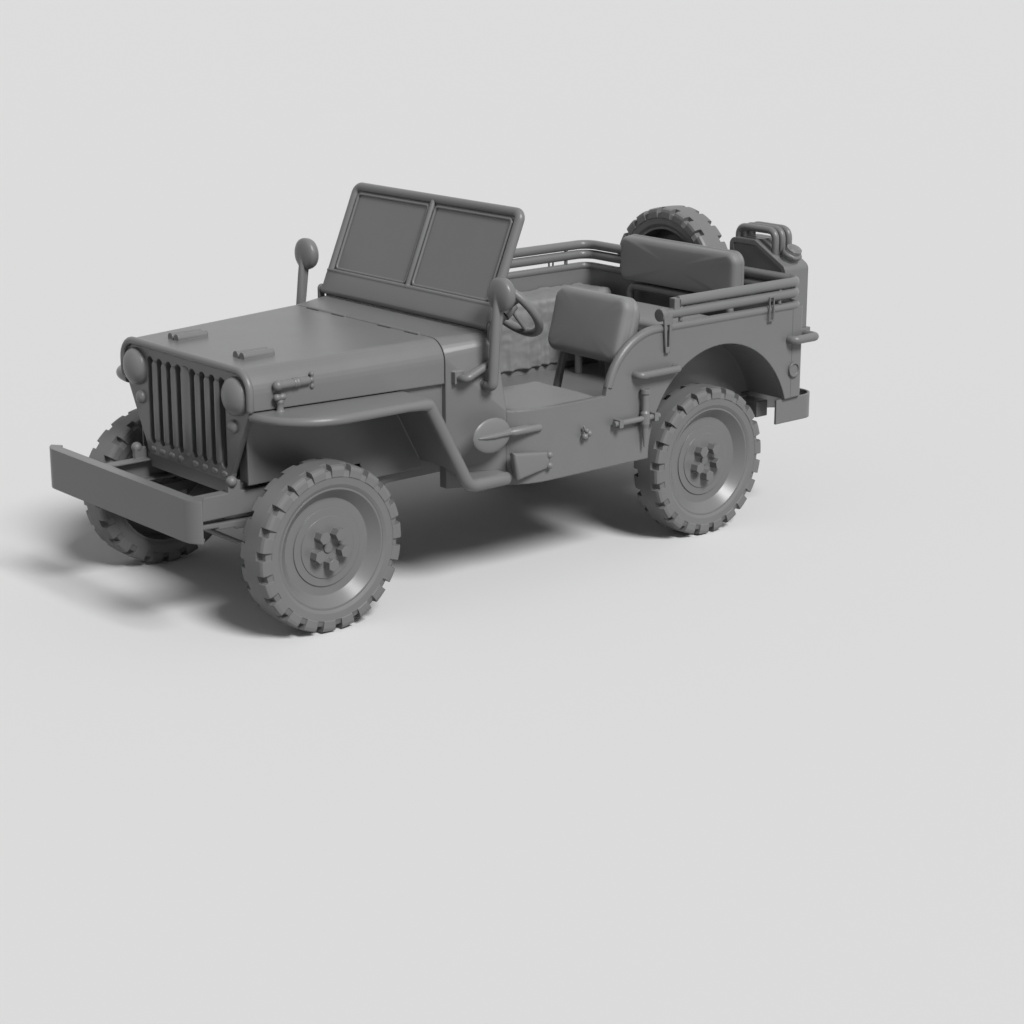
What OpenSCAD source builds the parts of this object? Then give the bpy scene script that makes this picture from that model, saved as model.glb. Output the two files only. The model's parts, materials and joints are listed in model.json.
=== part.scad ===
// Open army 4x4 car with a folding windscreen, as separate panels and running gear.
// Millimetres. The front faces -Y, the left is +X and up is +Z. Places along the car
// are measured from the front axle and then moved, so the origin is under the middle.

/* [Running gear] */
// Distance between the axles
wheelbase = 2032; // [1900:1:2200]
// Middle of each tyre from the centre line
half_track = 590; // [580:1:600]
// Radius to the tips of the lugs
tyre_radius = 330; // [320:1:340]
// Width of a tyre
tyre_width = 154; // [146:1:160]
// Radius of the rim that a tyre sits on
rim_radius = 240; // [230:1:246]
// Lugs round one edge of a tyre
lug_count = 22; // [16:1:28]
// Middle of each frame rail from the centre line
rail_mid = 325; // [300:1:330]
// Width of a frame rail
rail_width = 50; // [40:1:54]
// Height of the rails' underside
rail_bottom = 440; // [436:1:450]
// Depth of a frame rail
rail_height = 92; // [80:1:100]
// Steering pivot from the centre line
king_x = 500; // [495:1:505]
// Radius of the axle tubes
axle_r = 38; // [34:1:40]

/* [Tub] */
// Half of the width over the side panels
tub_half = 716; // [706:1:730]
// Rear face of the tub, behind the rear axle
rear_overhang = 518; // [490:1:560]
// Height of the tub's top edge
tub_top = 992; // [970:1:1010]
// Height of the door opening's lower edge
sill_top = 735; // [720:1:750]
// Height of the side panels' underside
sill_bottom = 430; // [420:1:438]
// Height of the tub's underside behind the wheels
tail_bottom = 560; // [550:1:580]
// Thickness of the tub's walls
wall = 24; // [18:1:28]
// Radius of the rear wheel arches
arch_radius = 432; // [420:1:438]
// Radius of the curve at the front of the rear quarter
quarter_r = 300; // [270:1:320]
// Start of the level top edge, ahead of the rear axle
quarter_lead = 382; // [352:1:392]

/* [Cowl and windscreen] */
// Front face of the cowl, behind the front axle
cowl_front = 645; // [640:1:652]
// Rear edge of the cowl, behind the front axle
cowl_rear = 865; // [850:1:880]
// Half width of the cowl at its front
cowl_front_half = 545; // [535:1:550]
// Half width of the cowl's top at its rear
cowl_rear_half = 600; // [590:1:610]
// Height of the cowl's top
cowl_top = 1043; // [1036:1:1050]
// Half width over the windscreen frame
screen_half = 568; // [560:1:572]
// Length of the windscreen up its slope
screen_height = 490; // [470:1:510]
// Lean of the windscreen from upright, in degrees
screen_rake = 22.8; // [18:0.1:26]
// Radius of the windscreen's tubes
screen_r = 20; // [17:1:22]

/* [Hood, grille and fenders] */
// Front edge of the hood, ahead of the front axle
hood_front = -225; // [-235:1:-218]
// Half width of the hood at its front
hood_front_half = 462; // [455:1:470]
// Height of the hood's top at its front
hood_front_top = 1014; // [1005:1:1020]
// Height of the hood's lower edge
hood_bottom = 862; // [860:1:870]
// Thickness of the hood's walls
hood_wall = 14; // [10:1:16]
// Height of the fenders' flat top
fender_top = 856; // [850:1:857]
// Rear end of the fenders' flat top, behind the front axle
fender_bend = 464; // [450:1:475]
// Foot of the fenders' slope, behind the front axle
fender_foot = 660; // [652:1:670]
// Height of the step behind the front wheel
step_top = 497; // [490:1:505]
// Front face of the grille, ahead of the front axle
grille_face = -214; // [-216:1:-208]
// Radius of the headlamps
lamp_r = 76; // [72:1:80]
// Front face of the bumper, ahead of the front axle
bumper_face = -545; // [-560:1:-530]
// Half of the bumper's flat length
bumper_half = 486; // [470:1:500]
// Height of the bumper's face
bumper_height = 164; // [150:1:170]

/* [Seats and equipment] */
// Middle of each front seat from the centre line
seat_x = 445; // [438:1:447]
// Half width of a front seat
seat_half = 233; // [220:1:235]
// Height of the front cushions' top
seat_top = 718; // [700:1:730]
// Radius of the steering wheel
steering_r = 168; // [160:1:180]
// Radius of the folded top's tubes
bow_r = 22; // [18:1:23]
// Middle of the spare wheel from the centre line
spare_x = -210; // [-230:1:-200]
// Height of the spare wheel's middle
spare_z = 975; // [960:1:985]
// Width of the fuel can
can_width = 346; // [330:1:350]
// Depth of the fuel can
can_depth = 154; // [140:1:160]
// Height of the fuel can's body
can_height = 450; // [430:1:460]

/* [Hidden] */
$fn = 48;
arc_steps = 10;
hull_fn = 32;

// Shared clearances
seat_gap = 0.4;
run_gap = 0.05;
move_gap = 6;
thin = 0.5;
overrun = 60;

// Colours, from the lit and shaded greys
paint = [0.50, 0.51, 0.52];
dark_paint = [0.42, 0.43, 0.44];
rubber = [0.40, 0.40, 0.41];
cloth = [0.47, 0.47, 0.47];
metal = [0.52, 0.53, 0.54];
pane = [0.46, 0.47, 0.48];

// Overall places
hub_z = tyre_radius;
rail_top = rail_bottom + rail_height;
rail_out = rail_mid + rail_width / 2;
rail_in = rail_mid - rail_width / 2;
tub_rear = wheelbase + rear_overhang;
quarter_y = wheelbase - quarter_lead;
spare_gap = 22;
tray_wall = 10;
tray_gap = 3;
rear_y = tub_rear + spare_gap + max(tyre_width, can_depth + tray_gap + tray_wall);
origin_y = (bumper_face + rear_y) / 2;

// One half of the tyre with its lugs: height share of the section, half width share
tyre_shares = [[0, 0.86], [0.15, 0.94], [0.46, 0.96], [0.48, 1], [0.78, 1], [0.92, 0.95],
    [0.98, 0.8], [1, 0.4]];
// Notch between two lugs: height share of the section, half width share
notch_shares = [[0.76, 0.5], [1.1, 0.5], [1.1, 1.2], [0.47, 1.2], [0.47, 0.955], [0.72, 0.86]];
lug_pitch_share = 0.64;

// Wheel, offsets outward from the tyre's middle
rim_seat_gap = 0.3;
rim_face = 66;
rim_lip = 8;
rim_wall = 12;
disc_face = 28;
disc_wall = 10;
dish_r = 192;
ring_out = 154;
ring_in = 122;
ring_rise = 5;
centre_rise = 3;
hub_r = 40;
hub_back = -16;
cap_r = 20;
cap_rise = 6;
nut_ring_r = 63;
nut_r = 25;
nut_length = 40;
nut_count = 5;
hex_sides = 6;
drum_r = 118;
drum_wall = 10;
drum_edge = -24;
spindle_r = 25;
spindle_end = 16;
spindle_slack = 4;
backing_in = -36;
backing_wall = 6;

// Axles and steering
diff_x = -160;
diff_r = 100;
diff_half = 44;
nose_r = 46;
nose_start = 112;
nose_length = 190;
cover_r = 62;
cover_depth = 112;
ball_r = 50;
ball_gap = 3;
knuckle_r = 70;
knuckle_edge = 5;
king_r = 24;
king_gap = 0.3;
king_reach = 82;
arm_y = -150;
arm_half = 17;
arm_bottom = 306;
arm_wall = 20;
pin_r = 10;
tie_r = 10;
tie_wall = 24;
tie_drop = 2;
eye_r = 22;

// Springs and dampers
leaf_count = 5;
leaf_wall = 8;
leaf_width = 44;
spring_reach = 460;
spring_rise = 17;
leaf_step_share = 0.17;
spring_eye_r = 13;
hanger_wall = 8;
hanger_half = 20;
hanger_drop = 36;
pad_wall = 4;
pack_top = hub_z + axle_r + pad_wall + leaf_count * leaf_wall;

// Frame: cross members as front, rear, bottom and top, in order from the front
rail_wall = 8;
radiator_seat = 556;
cross_rise = 30;
cross_front = [-204, -105, 500, radiator_seat];
cross_top = rail_bottom + cross_rise;
cross_engine = [60, 120, rail_bottom, cross_top];
cross_gearbox = [700, 760, rail_bottom, cross_top];
cross_middle = [1320, 1372, rail_bottom, rail_top];
cross_rear_set = 298;
cross_rear_width = 60;
cross_rear_y = wheelbase + cross_rear_set;
cross_rear = [cross_rear_y, cross_rear_y + cross_rear_width, rail_bottom, rail_top];
tail_set = 398;
tail_width = 70;
tail_y0 = wheelbase + tail_set;
tail_y1 = tail_y0 + tail_width;
tail_half = 560;
tail_inset = 10;
post_x = 347;
post_y = -242;
post_half = 18;
ball_seat = 575;
bolt_r = 22;
hitch_half = 55;
hitch_reach = 110;
hitch_wall = 32;
hitch_z = 462;
hitch_pin_r = 18;

// Bumpers
bumper_wall = 8;
bumper_depth = 48;
bumper_bend_r = 95;
bumper_turn = 52;
bumper_bottom = 425;
bumperette_in = 430;
bumperette_out = 700;
bumperette_reach = 130;
bumperette_lap = 142;
bumperette_rear = tub_rear + bumperette_reach;
bumperette_front = tub_rear - bumperette_lap;
bumperette_r = 85;
bumperette_bottom = 446;
bumperette_top = 556;
bumperette_wall = 10;

// Engine, drive and tanks
engine_half = 150;
engine_front = -20;
engine_rear = 470;
engine_top = 850;
head_inset = 40;
head_rise = 60;
gearbox_half = 95;
gearbox_rear = 900;
transfer_front = 900;
transfer_rear = 1080;
transfer_left = 90;
transfer_right = -235;
transfer_bottom = 372;
transfer_top = 528;
shaft_r = 25;
joint_r = 36;
joint_length = 60;
transfer_shaft_z = 420;
pipe_r = 20;
pipe_bend = 45;
pipe_z = 415;
pipe_y = 300;
pipe_cross_y = 560;
pipe_x = -430;
pipe_in_x = -215;
manifold_z = 600;
muffler_r = 52;
muffler_z = 450;
muffler_front = 1050;
muffler_rear = 1450;
pipe_reach = 258;
pipe_end = wheelbase + pipe_reach;
tank_in = 372;
tank_out = 672;
tank_front = 1080;
tank_rear = 1420;
tank_bottom = 442;
radiator_half = 235;
radiator_front = -165;
radiator_back = -108;
radiator_top = 965;

// Floor and wheel boxes
floor_wall = 16;
floor_top = rail_top + floor_wall;
arch_lift = 101;
arch_z = hub_z + arch_lift;
box_width = 250;
box_gap = 42;
box_in = tub_half - box_width;
box_half = rear_overhang - wall - box_gap;
box_top = 886;
ledge_gap = 6;
ledge_in = bumperette_in - ledge_gap;

// Tub plan
flare_r = 300;
flare_y = 1040;
flare_turn = 45;
corner_r = 60;
bead_r = 18;
bead_lift = 2;
bead_sweep = 75;
bead_z = tub_top - bead_r + bead_lift;

// Cowl
cowl_front_top = 1036;
cowl_front_r = 88;
cowl_rear_r = 62;
cowl_wall = 20;
cowl_low_half = tub_half - flare_r + sqrt(flare_r * flare_r - pow(flare_y - cowl_rear, 2));
dash_wall = 18;
dash_bottom = 955;
hinge_lift = 5;
hinge_ear = 14;
hinge_set = 8;
hinge_pin_r = 9;
hinge_pin_in = 40;
screen_y = cowl_rear - hinge_set;
screen_z = cowl_top + screen_r + hinge_lift;
stay_r = 16;
stay_bend = 20;
stay_front = 690;
stay_rear = 835;
stay_low = 884;
stay_high = 940;
stay_x = 580;
stay_out = 40;
stay_plate = 24;

// Windscreen
screen_bend = 30;
screen_sill = 82;
screen_panel = 18;
divider_half = 11;
divider_wall = 26;
pane_wall = 8;

// Hood
hood_front_r = 86;
hood_shoulder = 925;
hood_rear_gap = 5;
hood_rear = cowl_front - hood_rear_gap;
hinge_y = cowl_front - hood_rear_gap / 2;
hinge_z = cowl_front_top;
barrel_r = 8;
barrel_gap = 0.3;
barrel_half = 45;
barrel_x = 250;
rest_r = 17;
rest_x = 235;
rest_apart = 22;
rest_front = -118;
rest_rear = 22;
rest_z = 1026;
catch_r = 17;
catch_x = 488;
catch_z = 953;
catch_front = -110;
catch_rear = 28;
catch_post_x = 496;
post_r = 13;
post_top = 910;
post_head = 24;
post_head_r = 15;

// Grille
grille_wall = 24;
grille_gap = 5;
grille_half = hood_front_half - hood_wall - grille_gap;
grille_top = hood_front_top - hood_wall - grille_gap;
grille_r = hood_front_r - hood_wall - grille_gap;
grille_neck = 850;
grille_foot_half = 306;
grille_foot_r = 34;
slot_count = 4;
slot_first = 52;
slot_pitch = 69;
slot_half = 22;
slot_bottom = 626;
slot_top = 938;
lamp_set = 83;
lamp_drop = 90;
lamp_x = grille_half - lamp_set;
lamp_z = grille_top - lamp_drop;
lamp_hole = 70;
lamp_skirt = 6;
lamp_dome = 40;
lamp_can_r = 46;
lamp_back = 80;
marker_set = 26;
marker_drop = 122;
marker_x = lamp_x - marker_set;
marker_z = lamp_z - marker_drop;
marker_r = 27;
marker_hole = 18;
marker_skirt = 5;
marker_dome = 17;
marker_can_r = 14;
marker_back = 40;
gusset_y = grille_face + marker_back + seat_gap;

// Fenders
fender_front = -221;
fender_corner = 150;
fender_wall = 8;
fender_lip = 33;
lip_wall = 12;
apron_out = 385;
step_gap = 5;
step_end = cowl_rear - step_gap;

// Lamps at the rear
tail_lamp_x = 610;
tail_lamp_z = 640;
tail_lamp_r = 36;
tail_lamp_length = 30;

// Seats
base_front = 946;
back_gap = 100;
back_set = 66;
back_y = wheelbase - box_half - back_gap;
base_rear = back_y - back_set;
base_wall = 90;
back_z = 835;
back_height = 292;
back_wall = 80;
back_lean = 14.5;
pad_r = 45;
pad_soft = 16;
seat_tube = 18;
seat_bend = 40;
seat_leg_x = 196;
leg_inset = 45;
foot_half = 24;
foot_wall = 16;
bench_half = 388;
bench_front = 58;
bench_rear = 408;
bench_top = 880;
bench_wall = 85;
bench_back_front = 414;
bench_back_rear = 484;
bench_back_bottom = 950;
bench_back_top = 1178;
bench_leg_x = 330;
bench_leg_front = 118;
bench_leg_rear = 368;

// Steering wheel and controls
steering_x = 430;
steering_y = 1075;
steering_z = 1100;
column_tilt = 40;
steering_rim = 18;
spoke_r = 8;
spoke_count = 3;
steering_hub_r = 30;
steering_hub = 44;
column_r = 21;
column_gap = 3;
shaft_core_r = 11;
steering_shaft = 90;
column_length = 520;
pedal_y = 800;
pedal_z = 640;
pedal_r = 9;
pedal_half = 32;
pedal_wall = 12;
pedal_places = [310, 400, 490];
pedal_tilt = 60;
lever_x = 60;
lever_y = 1060;
lever_top = 880;
lever_lean = -90;
lever_r = 10;
knob_r = 22;
lever_apart = 70;
boot_r = 24;
boot_rise = 18;

// Folded top
bow_low = 1033;
bow_high = 1081;
bow_inset = 12;
bow_x = tub_half - bow_inset;
bow_rear = rear_overhang - bow_inset;
bow_low_front = -338;
bow_high_front = -262;
bow_bend = 70;
bow_cap_r = 27;
bow_cap = 30;
bow_post_r = 9;
bow_posts = [-242, 368];
clamp_half = 16;
bow_plate_wall = 8;
bow_plate_half = 26;
bow_plate_foot = 12;
bow_plate_bottom = 872;
bow_plate_slot = 7;
strap_y = 293;
strap_half = 13;
strap_bottom = 930;
strap_wall = 6;

// Rear equipment
can_x = 403;
can_bottom = 772;
can_r = 34;
can_slope = 90;
can_shoulder_share = 0.45;
can_slope_turn = 60;
can_cap_tilt = 30;
can_grip_share = 0.2;
can_handle_r = 13;
can_handle_rise = 48;
can_handle_bend = 30;
can_handle_half = 78;
can_handle_apart = 43;
can_recess = 5;
can_rim = 24;
can_cap_r = 36;
can_cap = 40;
can_cap_x = 118;
tray_rise = 60;
carrier_r = 24;
carrier_plate_r = 80;
carrier_plate = 10;
carrier_out = 46;
spare_low = 880;

// Handles and reflectors
handle_r = 16;
handle_out = 37;
handle_z = 803;
handle_front = -518;
handle_rear = -288;
handle_bend = 20;
corner_z = 830;
corner_lap = 92;
corner_reach = 52;
corner_front = rear_overhang - corner_lap;
corner_rear = rear_overhang + corner_reach;
corner_handle_r = 19;
corner_bend = 22;
corner_out = 35;
reflector_lap = 59;
reflector_y = rear_overhang - reflector_lap;
reflector_z = 690;
reflector_r = 34;
reflector_in = 25;
reflector_wall = 12;
reflector_dip = 5;

// Tools on the left side
tool_stand = 24;
tool_x = tub_half + tool_stand;
shovel_set = 18;
shovel_x = tub_half - shovel_set;
shovel_z = 660;
shovel_tip = 666;
shovel_neck = 846;
shovel_half = 70;
shovel_end = 1034;
blade_wall = 7;
ridge_r = 8;
ridge_share = 0.3;
socket_share = 0.8;
tool_r = 16;
// Blade: share of the length from the tip, share of the half width
blade_shares = [[0, 0.02], [0.12, 0.36], [0.3, 0.78], [0.5, 1], [0.72, 0.93], [0.9, 0.55], [1, 0.24]];
axe_set = 16;
axe_z = 520;
axe_front = 847;
axe_back = 1032;
axe_lean = 22;
axe_half = 54;
axe_poll = 30;
axe_wall = 30;
clip_apart = 22;
clip_r = 15;
clip_y = 1231;
clip_z = 594;
clip_half = 13;
clip_wall = 18;
bar_y = -475;
bar_z = 615;
bar_front = -177;
bar_rear = 81;
bar_r = 12;
bar_clamp_in = 28;
bar_clamp_half = 11;
bar_clamp_rise = 17;
grip_r = 20;
grip_half = 125;
// Upright of the bar: radius share, half length share
grip_shares = [[0, -1], [0.2, -1], [0.66, -0.34], [1, -0.18], [1, 0.18], [0.72, 0.26], [0.72, 0.8],
    [1, 0.85], [1, 1], [0, 1]];

// Mirrors
mirror_x = 663;
mirror_y = 838;
mirror_z = 1212;
mirror_r = 52;
mirror_wall = 22;
mirror_arm_r = 14;
mirror_lap_share = 0.7;
mirror_foot_y = 790;
mirror_foot_z = 850;
mirror_bend = 18;
mirror_boss = 636;
mirror_boss_r = 18;

// Shape helpers
function arc(c, r, a0, a1) =
    [for (i = [0:arc_steps]) let (a = a0 + (a1 - a0) * i / arc_steps) c + r * [cos(a), sin(a)]];
function flip(points) = [for (i = [len(points) - 1:-1:0]) points[i]];
function unit(v) = v / norm(v);
function turn(u, v) = acos(min(1, max(-1, u * v)));
function mix(a, b, t) = a + (b - a) * t;

module both() {
    children();
    mirror([1, 0, 0]) children();
}

// A (y, z) profile drawn out from x0 to x1
module across(x0, x1) {
    translate([x0, 0, 0]) rotate([90, 0, 90]) linear_extrude(x1 - x0) children();
}

// An (x, z) profile drawn out from y0 to y1
module along(y0, y1) {
    translate([0, y1, 0]) rotate([90, 0, 0]) linear_extrude(y1 - y0) children();
}

// An (x, y) profile drawn out from z0 to z1
module upward(z0, z1) {
    translate([0, 0, z0]) linear_extrude(z1 - z0) children();
}

module block(low, high) {
    translate(low) cube(high - low);
}

module rod(p, q, r) {
    d = q - p;
    translate(p) rotate([0, acos(d[2] / norm(d)), atan2(d[1], d[0])]) cylinder(r = r, h = norm(d));
}

// A round bar through the points, bent to one radius at each corner
module tube(points, r, bend) {
    last = len(points) - 1;
    way = [for (i = [0:last - 1]) unit(points[i + 1] - points[i])];
    angle = [for (i = [0:last]) i == 0 || i == last ? 0 : turn(way[i - 1], way[i])];
    trim = [for (a = angle) bend * tan(a / 2)];
    for (i = [0:last - 1])
        rod(points[i] + way[i] * trim[i], points[i + 1] - way[i] * trim[i + 1], r);
    for (i = [1:1:last - 1]) {
        u = way[i - 1];
        start = points[i] - u * trim[i];
        c = points[i] + unit(way[i] - u) * bend / cos(angle[i] / 2);
        ex = unit(start - c);
        ez = cross(ex, u);
        multmatrix([[ex[0], u[0], ez[0], c[0]], [ex[1], u[1], ez[1], c[1]],
            [ex[2], u[2], ez[2], c[2]]])
            rotate_extrude(angle = angle[i]) translate([bend, 0]) circle(r);
    }
}

// A soft slab with rounded corners, its faces towards +-Z
module pad(size, r, soft) {
    hull() for (x = [-1, 1], y = [-1, 1])
        translate([x * (size[0] / 2 - r), y * (size[1] / 2 - r), 0]) {
            cylinder(r = r, h = size[2] - 2 * soft, center = true, $fn = hull_fn);
            cylinder(r = r - soft, h = size[2], center = true, $fn = hull_fn);
        }
}

module place() {
    translate([0, -origin_y, 0]) children();
}

// What goes with the rear axle is measured from it
module at_rear() {
    translate([0, wheelbase, 0]) children();
}

// Frame

// A cross member runs between the inner edges of the two rails
module cross_member(c) {
    block([-rail_in, c[0], c[2]], [rail_in, c[1], c[3]]);
}

module rail() {
    front = bumper_face + bumper_wall;
    difference() {
        block([rail_in, front, rail_bottom], [rail_out, tail_y1, rail_top]);
        block([rail_in - overrun, front - overrun, rail_bottom + rail_wall],
            [rail_out - rail_wall, tail_y1 + overrun, rail_top - rail_wall]);
    }
    for (hub = [0, wheelbase], end = [-1, 1], side = [-1, 1])
        hanger(hub + end * spring_reach, side);
}

module hanger(y, side) {
    x = rail_mid + side * (leaf_width / 2 + hanger_wall / 2);
    block([x - hanger_wall / 2, y - hanger_half, rail_bottom - hanger_drop],
        [x + hanger_wall / 2, y + hanger_half, rail_bottom]);
}

module grille_post() {
    block([post_x - post_half, post_y - post_half, rail_top - rail_wall],
        [rail_out, cross_front[0], ball_seat]);
    translate([post_x, post_y, ball_seat]) sphere(bolt_r);
}

module tow_hitch() {
    difference() {
        union() {
            block([-hitch_half, tail_y1, hitch_z],
                [hitch_half, tail_y1 + hitch_reach, hitch_z + hitch_wall]);
            translate([0, tail_y1 + hitch_reach, hitch_z]) cylinder(r = hitch_half, h = hitch_wall);
        }
        translate([0, tail_y1 + hitch_reach, hitch_z - overrun])
            cylinder(r = hitch_pin_r, h = hitch_wall + 2 * overrun);
    }
}

module chassis_frame() color(dark_paint) both() {
    rail();
    grille_post();
}

// The tail member goes into the rails' channels, and a stub on each rail carries it on outwards
module tail_bar(x0, x1) {
    block([x0, tail_y0, rail_bottom + tail_inset], [x1, tail_y1, rail_top - tail_inset]);
}

module cross_members() color(dark_paint) {
    for (c = [cross_front, cross_engine, cross_gearbox, cross_middle, cross_rear]) cross_member(c);
    block([-rail_mid, cross_front[0], rail_top], [rail_mid, cross_front[1], cross_front[3]]);
    tail_bar(rail_wall - rail_out, rail_out - rail_wall);
    tow_hitch();
    both() tail_bar(rail_out, tail_half);
}

// Bumpers

function bumper_side(inset) =
    arc([bumper_half, bumper_face + bumper_bend_r], bumper_bend_r - inset, -90, bumper_turn - 90);
function bumper_half_plan(inset) = concat([[0, bumper_face + inset]], bumper_side(inset));

module bumper_band(depth) {
    outer = bumper_half_plan(0);
    inner = bumper_half_plan(depth);
    polygon(concat(outer, flip(inner)));
}

module front_bumper() color(paint) both() {
    upward(bumper_bottom, bumper_bottom + bumper_height) bumper_band(bumper_wall);
    for (z = [bumper_bottom, bumper_bottom + bumper_height - bumper_wall])
        upward(z, z + bumper_wall) bumper_band(bumper_depth);
}

function bumperette_plan(inset) = concat(
    [[bumperette_in + inset, tail_y1]],
    arc([bumperette_in + bumperette_r, bumperette_rear - bumperette_r], bumperette_r - inset, 180, 90),
    arc([bumperette_out - bumperette_r, bumperette_rear - bumperette_r], bumperette_r - inset, 90, 0),
    [[bumperette_out - inset, bumperette_front]]);

module rear_bumpers() color(paint) both() upward(bumperette_bottom, bumperette_top)
    polygon(concat(bumperette_plan(0), flip(bumperette_plan(bumperette_wall))));

// Axles, knuckles and springs

module diff_case(way) {
    translate([diff_x, 0, hub_z]) rotate([-90 * way, 0, 0]) rotate_extrude() polygon([
        [0, -cover_depth], [cover_r, -cover_depth], [diff_r, -diff_half], [diff_r, diff_half],
        [nose_r, nose_start], [nose_r, nose_length], [0, nose_length]]);
}

module spring_pad(s) {
    x = s * rail_mid;
    block([x - leaf_width / 2, -leaf_width, hub_z],
        [x + leaf_width / 2, leaf_width, hub_z + axle_r + pad_wall]);
}

module front_axle() color(dark_paint) {
    neck = acos(axle_r / ball_r);
    translate([0, 0, hub_z]) rotate([0, 90, 0]) rotate_extrude() polygon(concat(
        arc([0, king_x], ball_r, -neck, 90), arc([0, -king_x], ball_r, -90, neck)));
    for (s = [-1, 1]) spring_pad(s);
    diff_case(1);
}

module spindle() {
    plate = half_track + backing_in;
    rod([plate, 0, hub_z], [plate + backing_wall, 0, hub_z], drum_r);
    rod([plate + backing_wall / 2, 0, hub_z], [half_track + spindle_end, 0, hub_z], spindle_r);
}

module rear_axle() color(dark_paint) translate([0, wheelbase, 0]) {
    end = half_track + backing_in + backing_wall / 2;
    rod([-end, 0, hub_z], [end, 0, hub_z], axle_r);
    both() spindle();
    for (s = [-1, 1]) spring_pad(s);
    diff_case(-1);
}

module knuckle() color(dark_paint) {
    cup_r = ball_r + ball_gap;
    edge = 90 - asin(knuckle_edge / knuckle_r);
    translate([king_x, 0, hub_z]) {
        rotate([0, 90, 0]) rotate_extrude() polygon(concat(
            arc([0, 0], knuckle_r, 90 - edge, 90), flip(arc([0, 0], cup_r, 90 - edge, 90))));
        for (s = [-1, 1]) rod([0, 0, s * (ball_r + king_gap)], [0, 0, s * king_reach], king_r);
    }
    spindle();
    block([king_x - arm_half, arm_y - arm_half, arm_bottom],
        [king_x + king_r, -cup_r, arm_bottom + arm_wall]);
    rod([king_x, arm_y, arm_bottom - tie_drop - tie_wall],
        [king_x, arm_y, arm_bottom + arm_wall / 2], pin_r);
}

module knuckle_left() knuckle();

module knuckle_right() mirror([1, 0, 0]) knuckle();

module tie_rod() color(dark_paint) {
    top = arm_bottom - tie_drop;
    difference() {
        union() {
            rod([-king_x, arm_y, top - tie_wall / 2], [king_x, arm_y, top - tie_wall / 2], tie_r);
            for (s = [-1, 1]) rod([s * king_x, arm_y, top - tie_wall], [s * king_x, arm_y, top], eye_r);
        }
        for (s = [-1, 1])
            rod([s * king_x, arm_y, top - tie_wall - overrun],
                [s * king_x, arm_y, top + overrun], pin_r + run_gap);
    }
}

// One leaf's side view, from the top of the pack down to its own underside
module leaf(i) {
    r = spring_reach * spring_reach / (2 * spring_rise);
    half_angle = asin(spring_reach / r) * (1 - i * leaf_step_share);
    c = [0, pack_top + r];
    polygon(concat(arc(c, r, 270 - half_angle, 270 + half_angle),
        flip(arc(c, r + (i + 1) * leaf_wall, 270 - half_angle, 270 + half_angle))));
}

module spring() {
    eye_z = pack_top + spring_rise - leaf_wall / 2;
    across(-leaf_width / 2, leaf_width / 2) for (i = [0:leaf_count - 1]) leaf(i);
    for (y = [-spring_reach, spring_reach]) rod([-leaf_width / 2, y, eye_z], [leaf_width / 2, y, eye_z],
        spring_eye_r);
}

module springs() color(dark_paint)
    for (s = [-1, 1], y = [0, wheelbase]) translate([s * rail_mid, y, 0]) spring();

// Drive

module engine() color(dark_paint) {
    bottom = cross_top;
    block([-engine_half, engine_front, bottom], [engine_half, engine_rear, engine_top - head_rise]);
    block([-engine_half + head_inset, engine_front + head_inset, bottom],
        [engine_half - head_inset, engine_rear - head_inset, engine_top]);
    block([-gearbox_half, engine_rear, bottom], [gearbox_half, gearbox_rear, rail_top - seat_gap]);
    block([transfer_right, transfer_front, transfer_bottom], [transfer_left, transfer_rear, transfer_top]);
}

module shaft(y0, z0, y1, z1) {
    p = [diff_x, y0, z0];
    q = [diff_x, y1, z1];
    way = sign(y1 - y0) * joint_length;
    rod(p + [0, way / 2, 0], q - [0, way / 2, 0], shaft_r);
    rod(p, p + [0, way, 0], joint_r);
    rod(q - [0, way, 0], q, joint_r);
}

module propeller_shafts() color(dark_paint) {
    shaft(nose_length + seat_gap, hub_z, transfer_front - seat_gap, transfer_shaft_z);
    shaft(wheelbase - nose_length - seat_gap, hub_z, transfer_rear + seat_gap, transfer_shaft_z);
}

module exhaust() color(dark_paint) {
    tube([[-engine_half, pipe_y, manifold_z], [pipe_in_x, pipe_y, manifold_z], [pipe_in_x, pipe_y, pipe_z],
        [pipe_in_x, pipe_cross_y, pipe_z], [pipe_x, pipe_cross_y, pipe_z], [pipe_x, pipe_end, pipe_z]],
        pipe_r, pipe_bend);
    rod([pipe_x, muffler_front, muffler_z], [pipe_x, muffler_rear, muffler_z], muffler_r);
}

module fuel_tank() color(dark_paint)
    block([tank_in, tank_front, tank_bottom], [tank_out, tank_rear, rail_top]);

module radiator() color(dark_paint)
    block([-radiator_half, radiator_front, radiator_seat], [radiator_half, radiator_back, radiator_top]);

// Grille and lamps

module grille_outline() {
    half = concat(
        arc([grille_half - grille_r, grille_top - grille_r], grille_r, 90, 0),
        [[grille_half, grille_neck]],
        arc([grille_foot_half - grille_foot_r, radiator_seat + grille_foot_r], grille_foot_r, 0, -90));
    polygon(concat(half, flip([for (p = half) [-p[0], p[1]]])));
}

module slots() {
    for (s = [-1, 1], i = [0:slot_count - 1])
        translate([s * (slot_first + i * slot_pitch), 0]) {
            translate([-slot_half, slot_bottom]) square([2 * slot_half, slot_top - slot_bottom]);
            for (z = [slot_bottom, slot_top]) translate([0, z]) circle(slot_half);
        }
}

module grille() color(paint) {
    along(grille_face, grille_face + grille_wall) difference() {
        grille_outline();
        slots();
        for (s = [-1, 1]) {
            translate([s * lamp_x, lamp_z]) circle(lamp_hole + seat_gap);
            translate([s * marker_x, marker_z]) circle(marker_hole + seat_gap);
        }
    }
}

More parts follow.
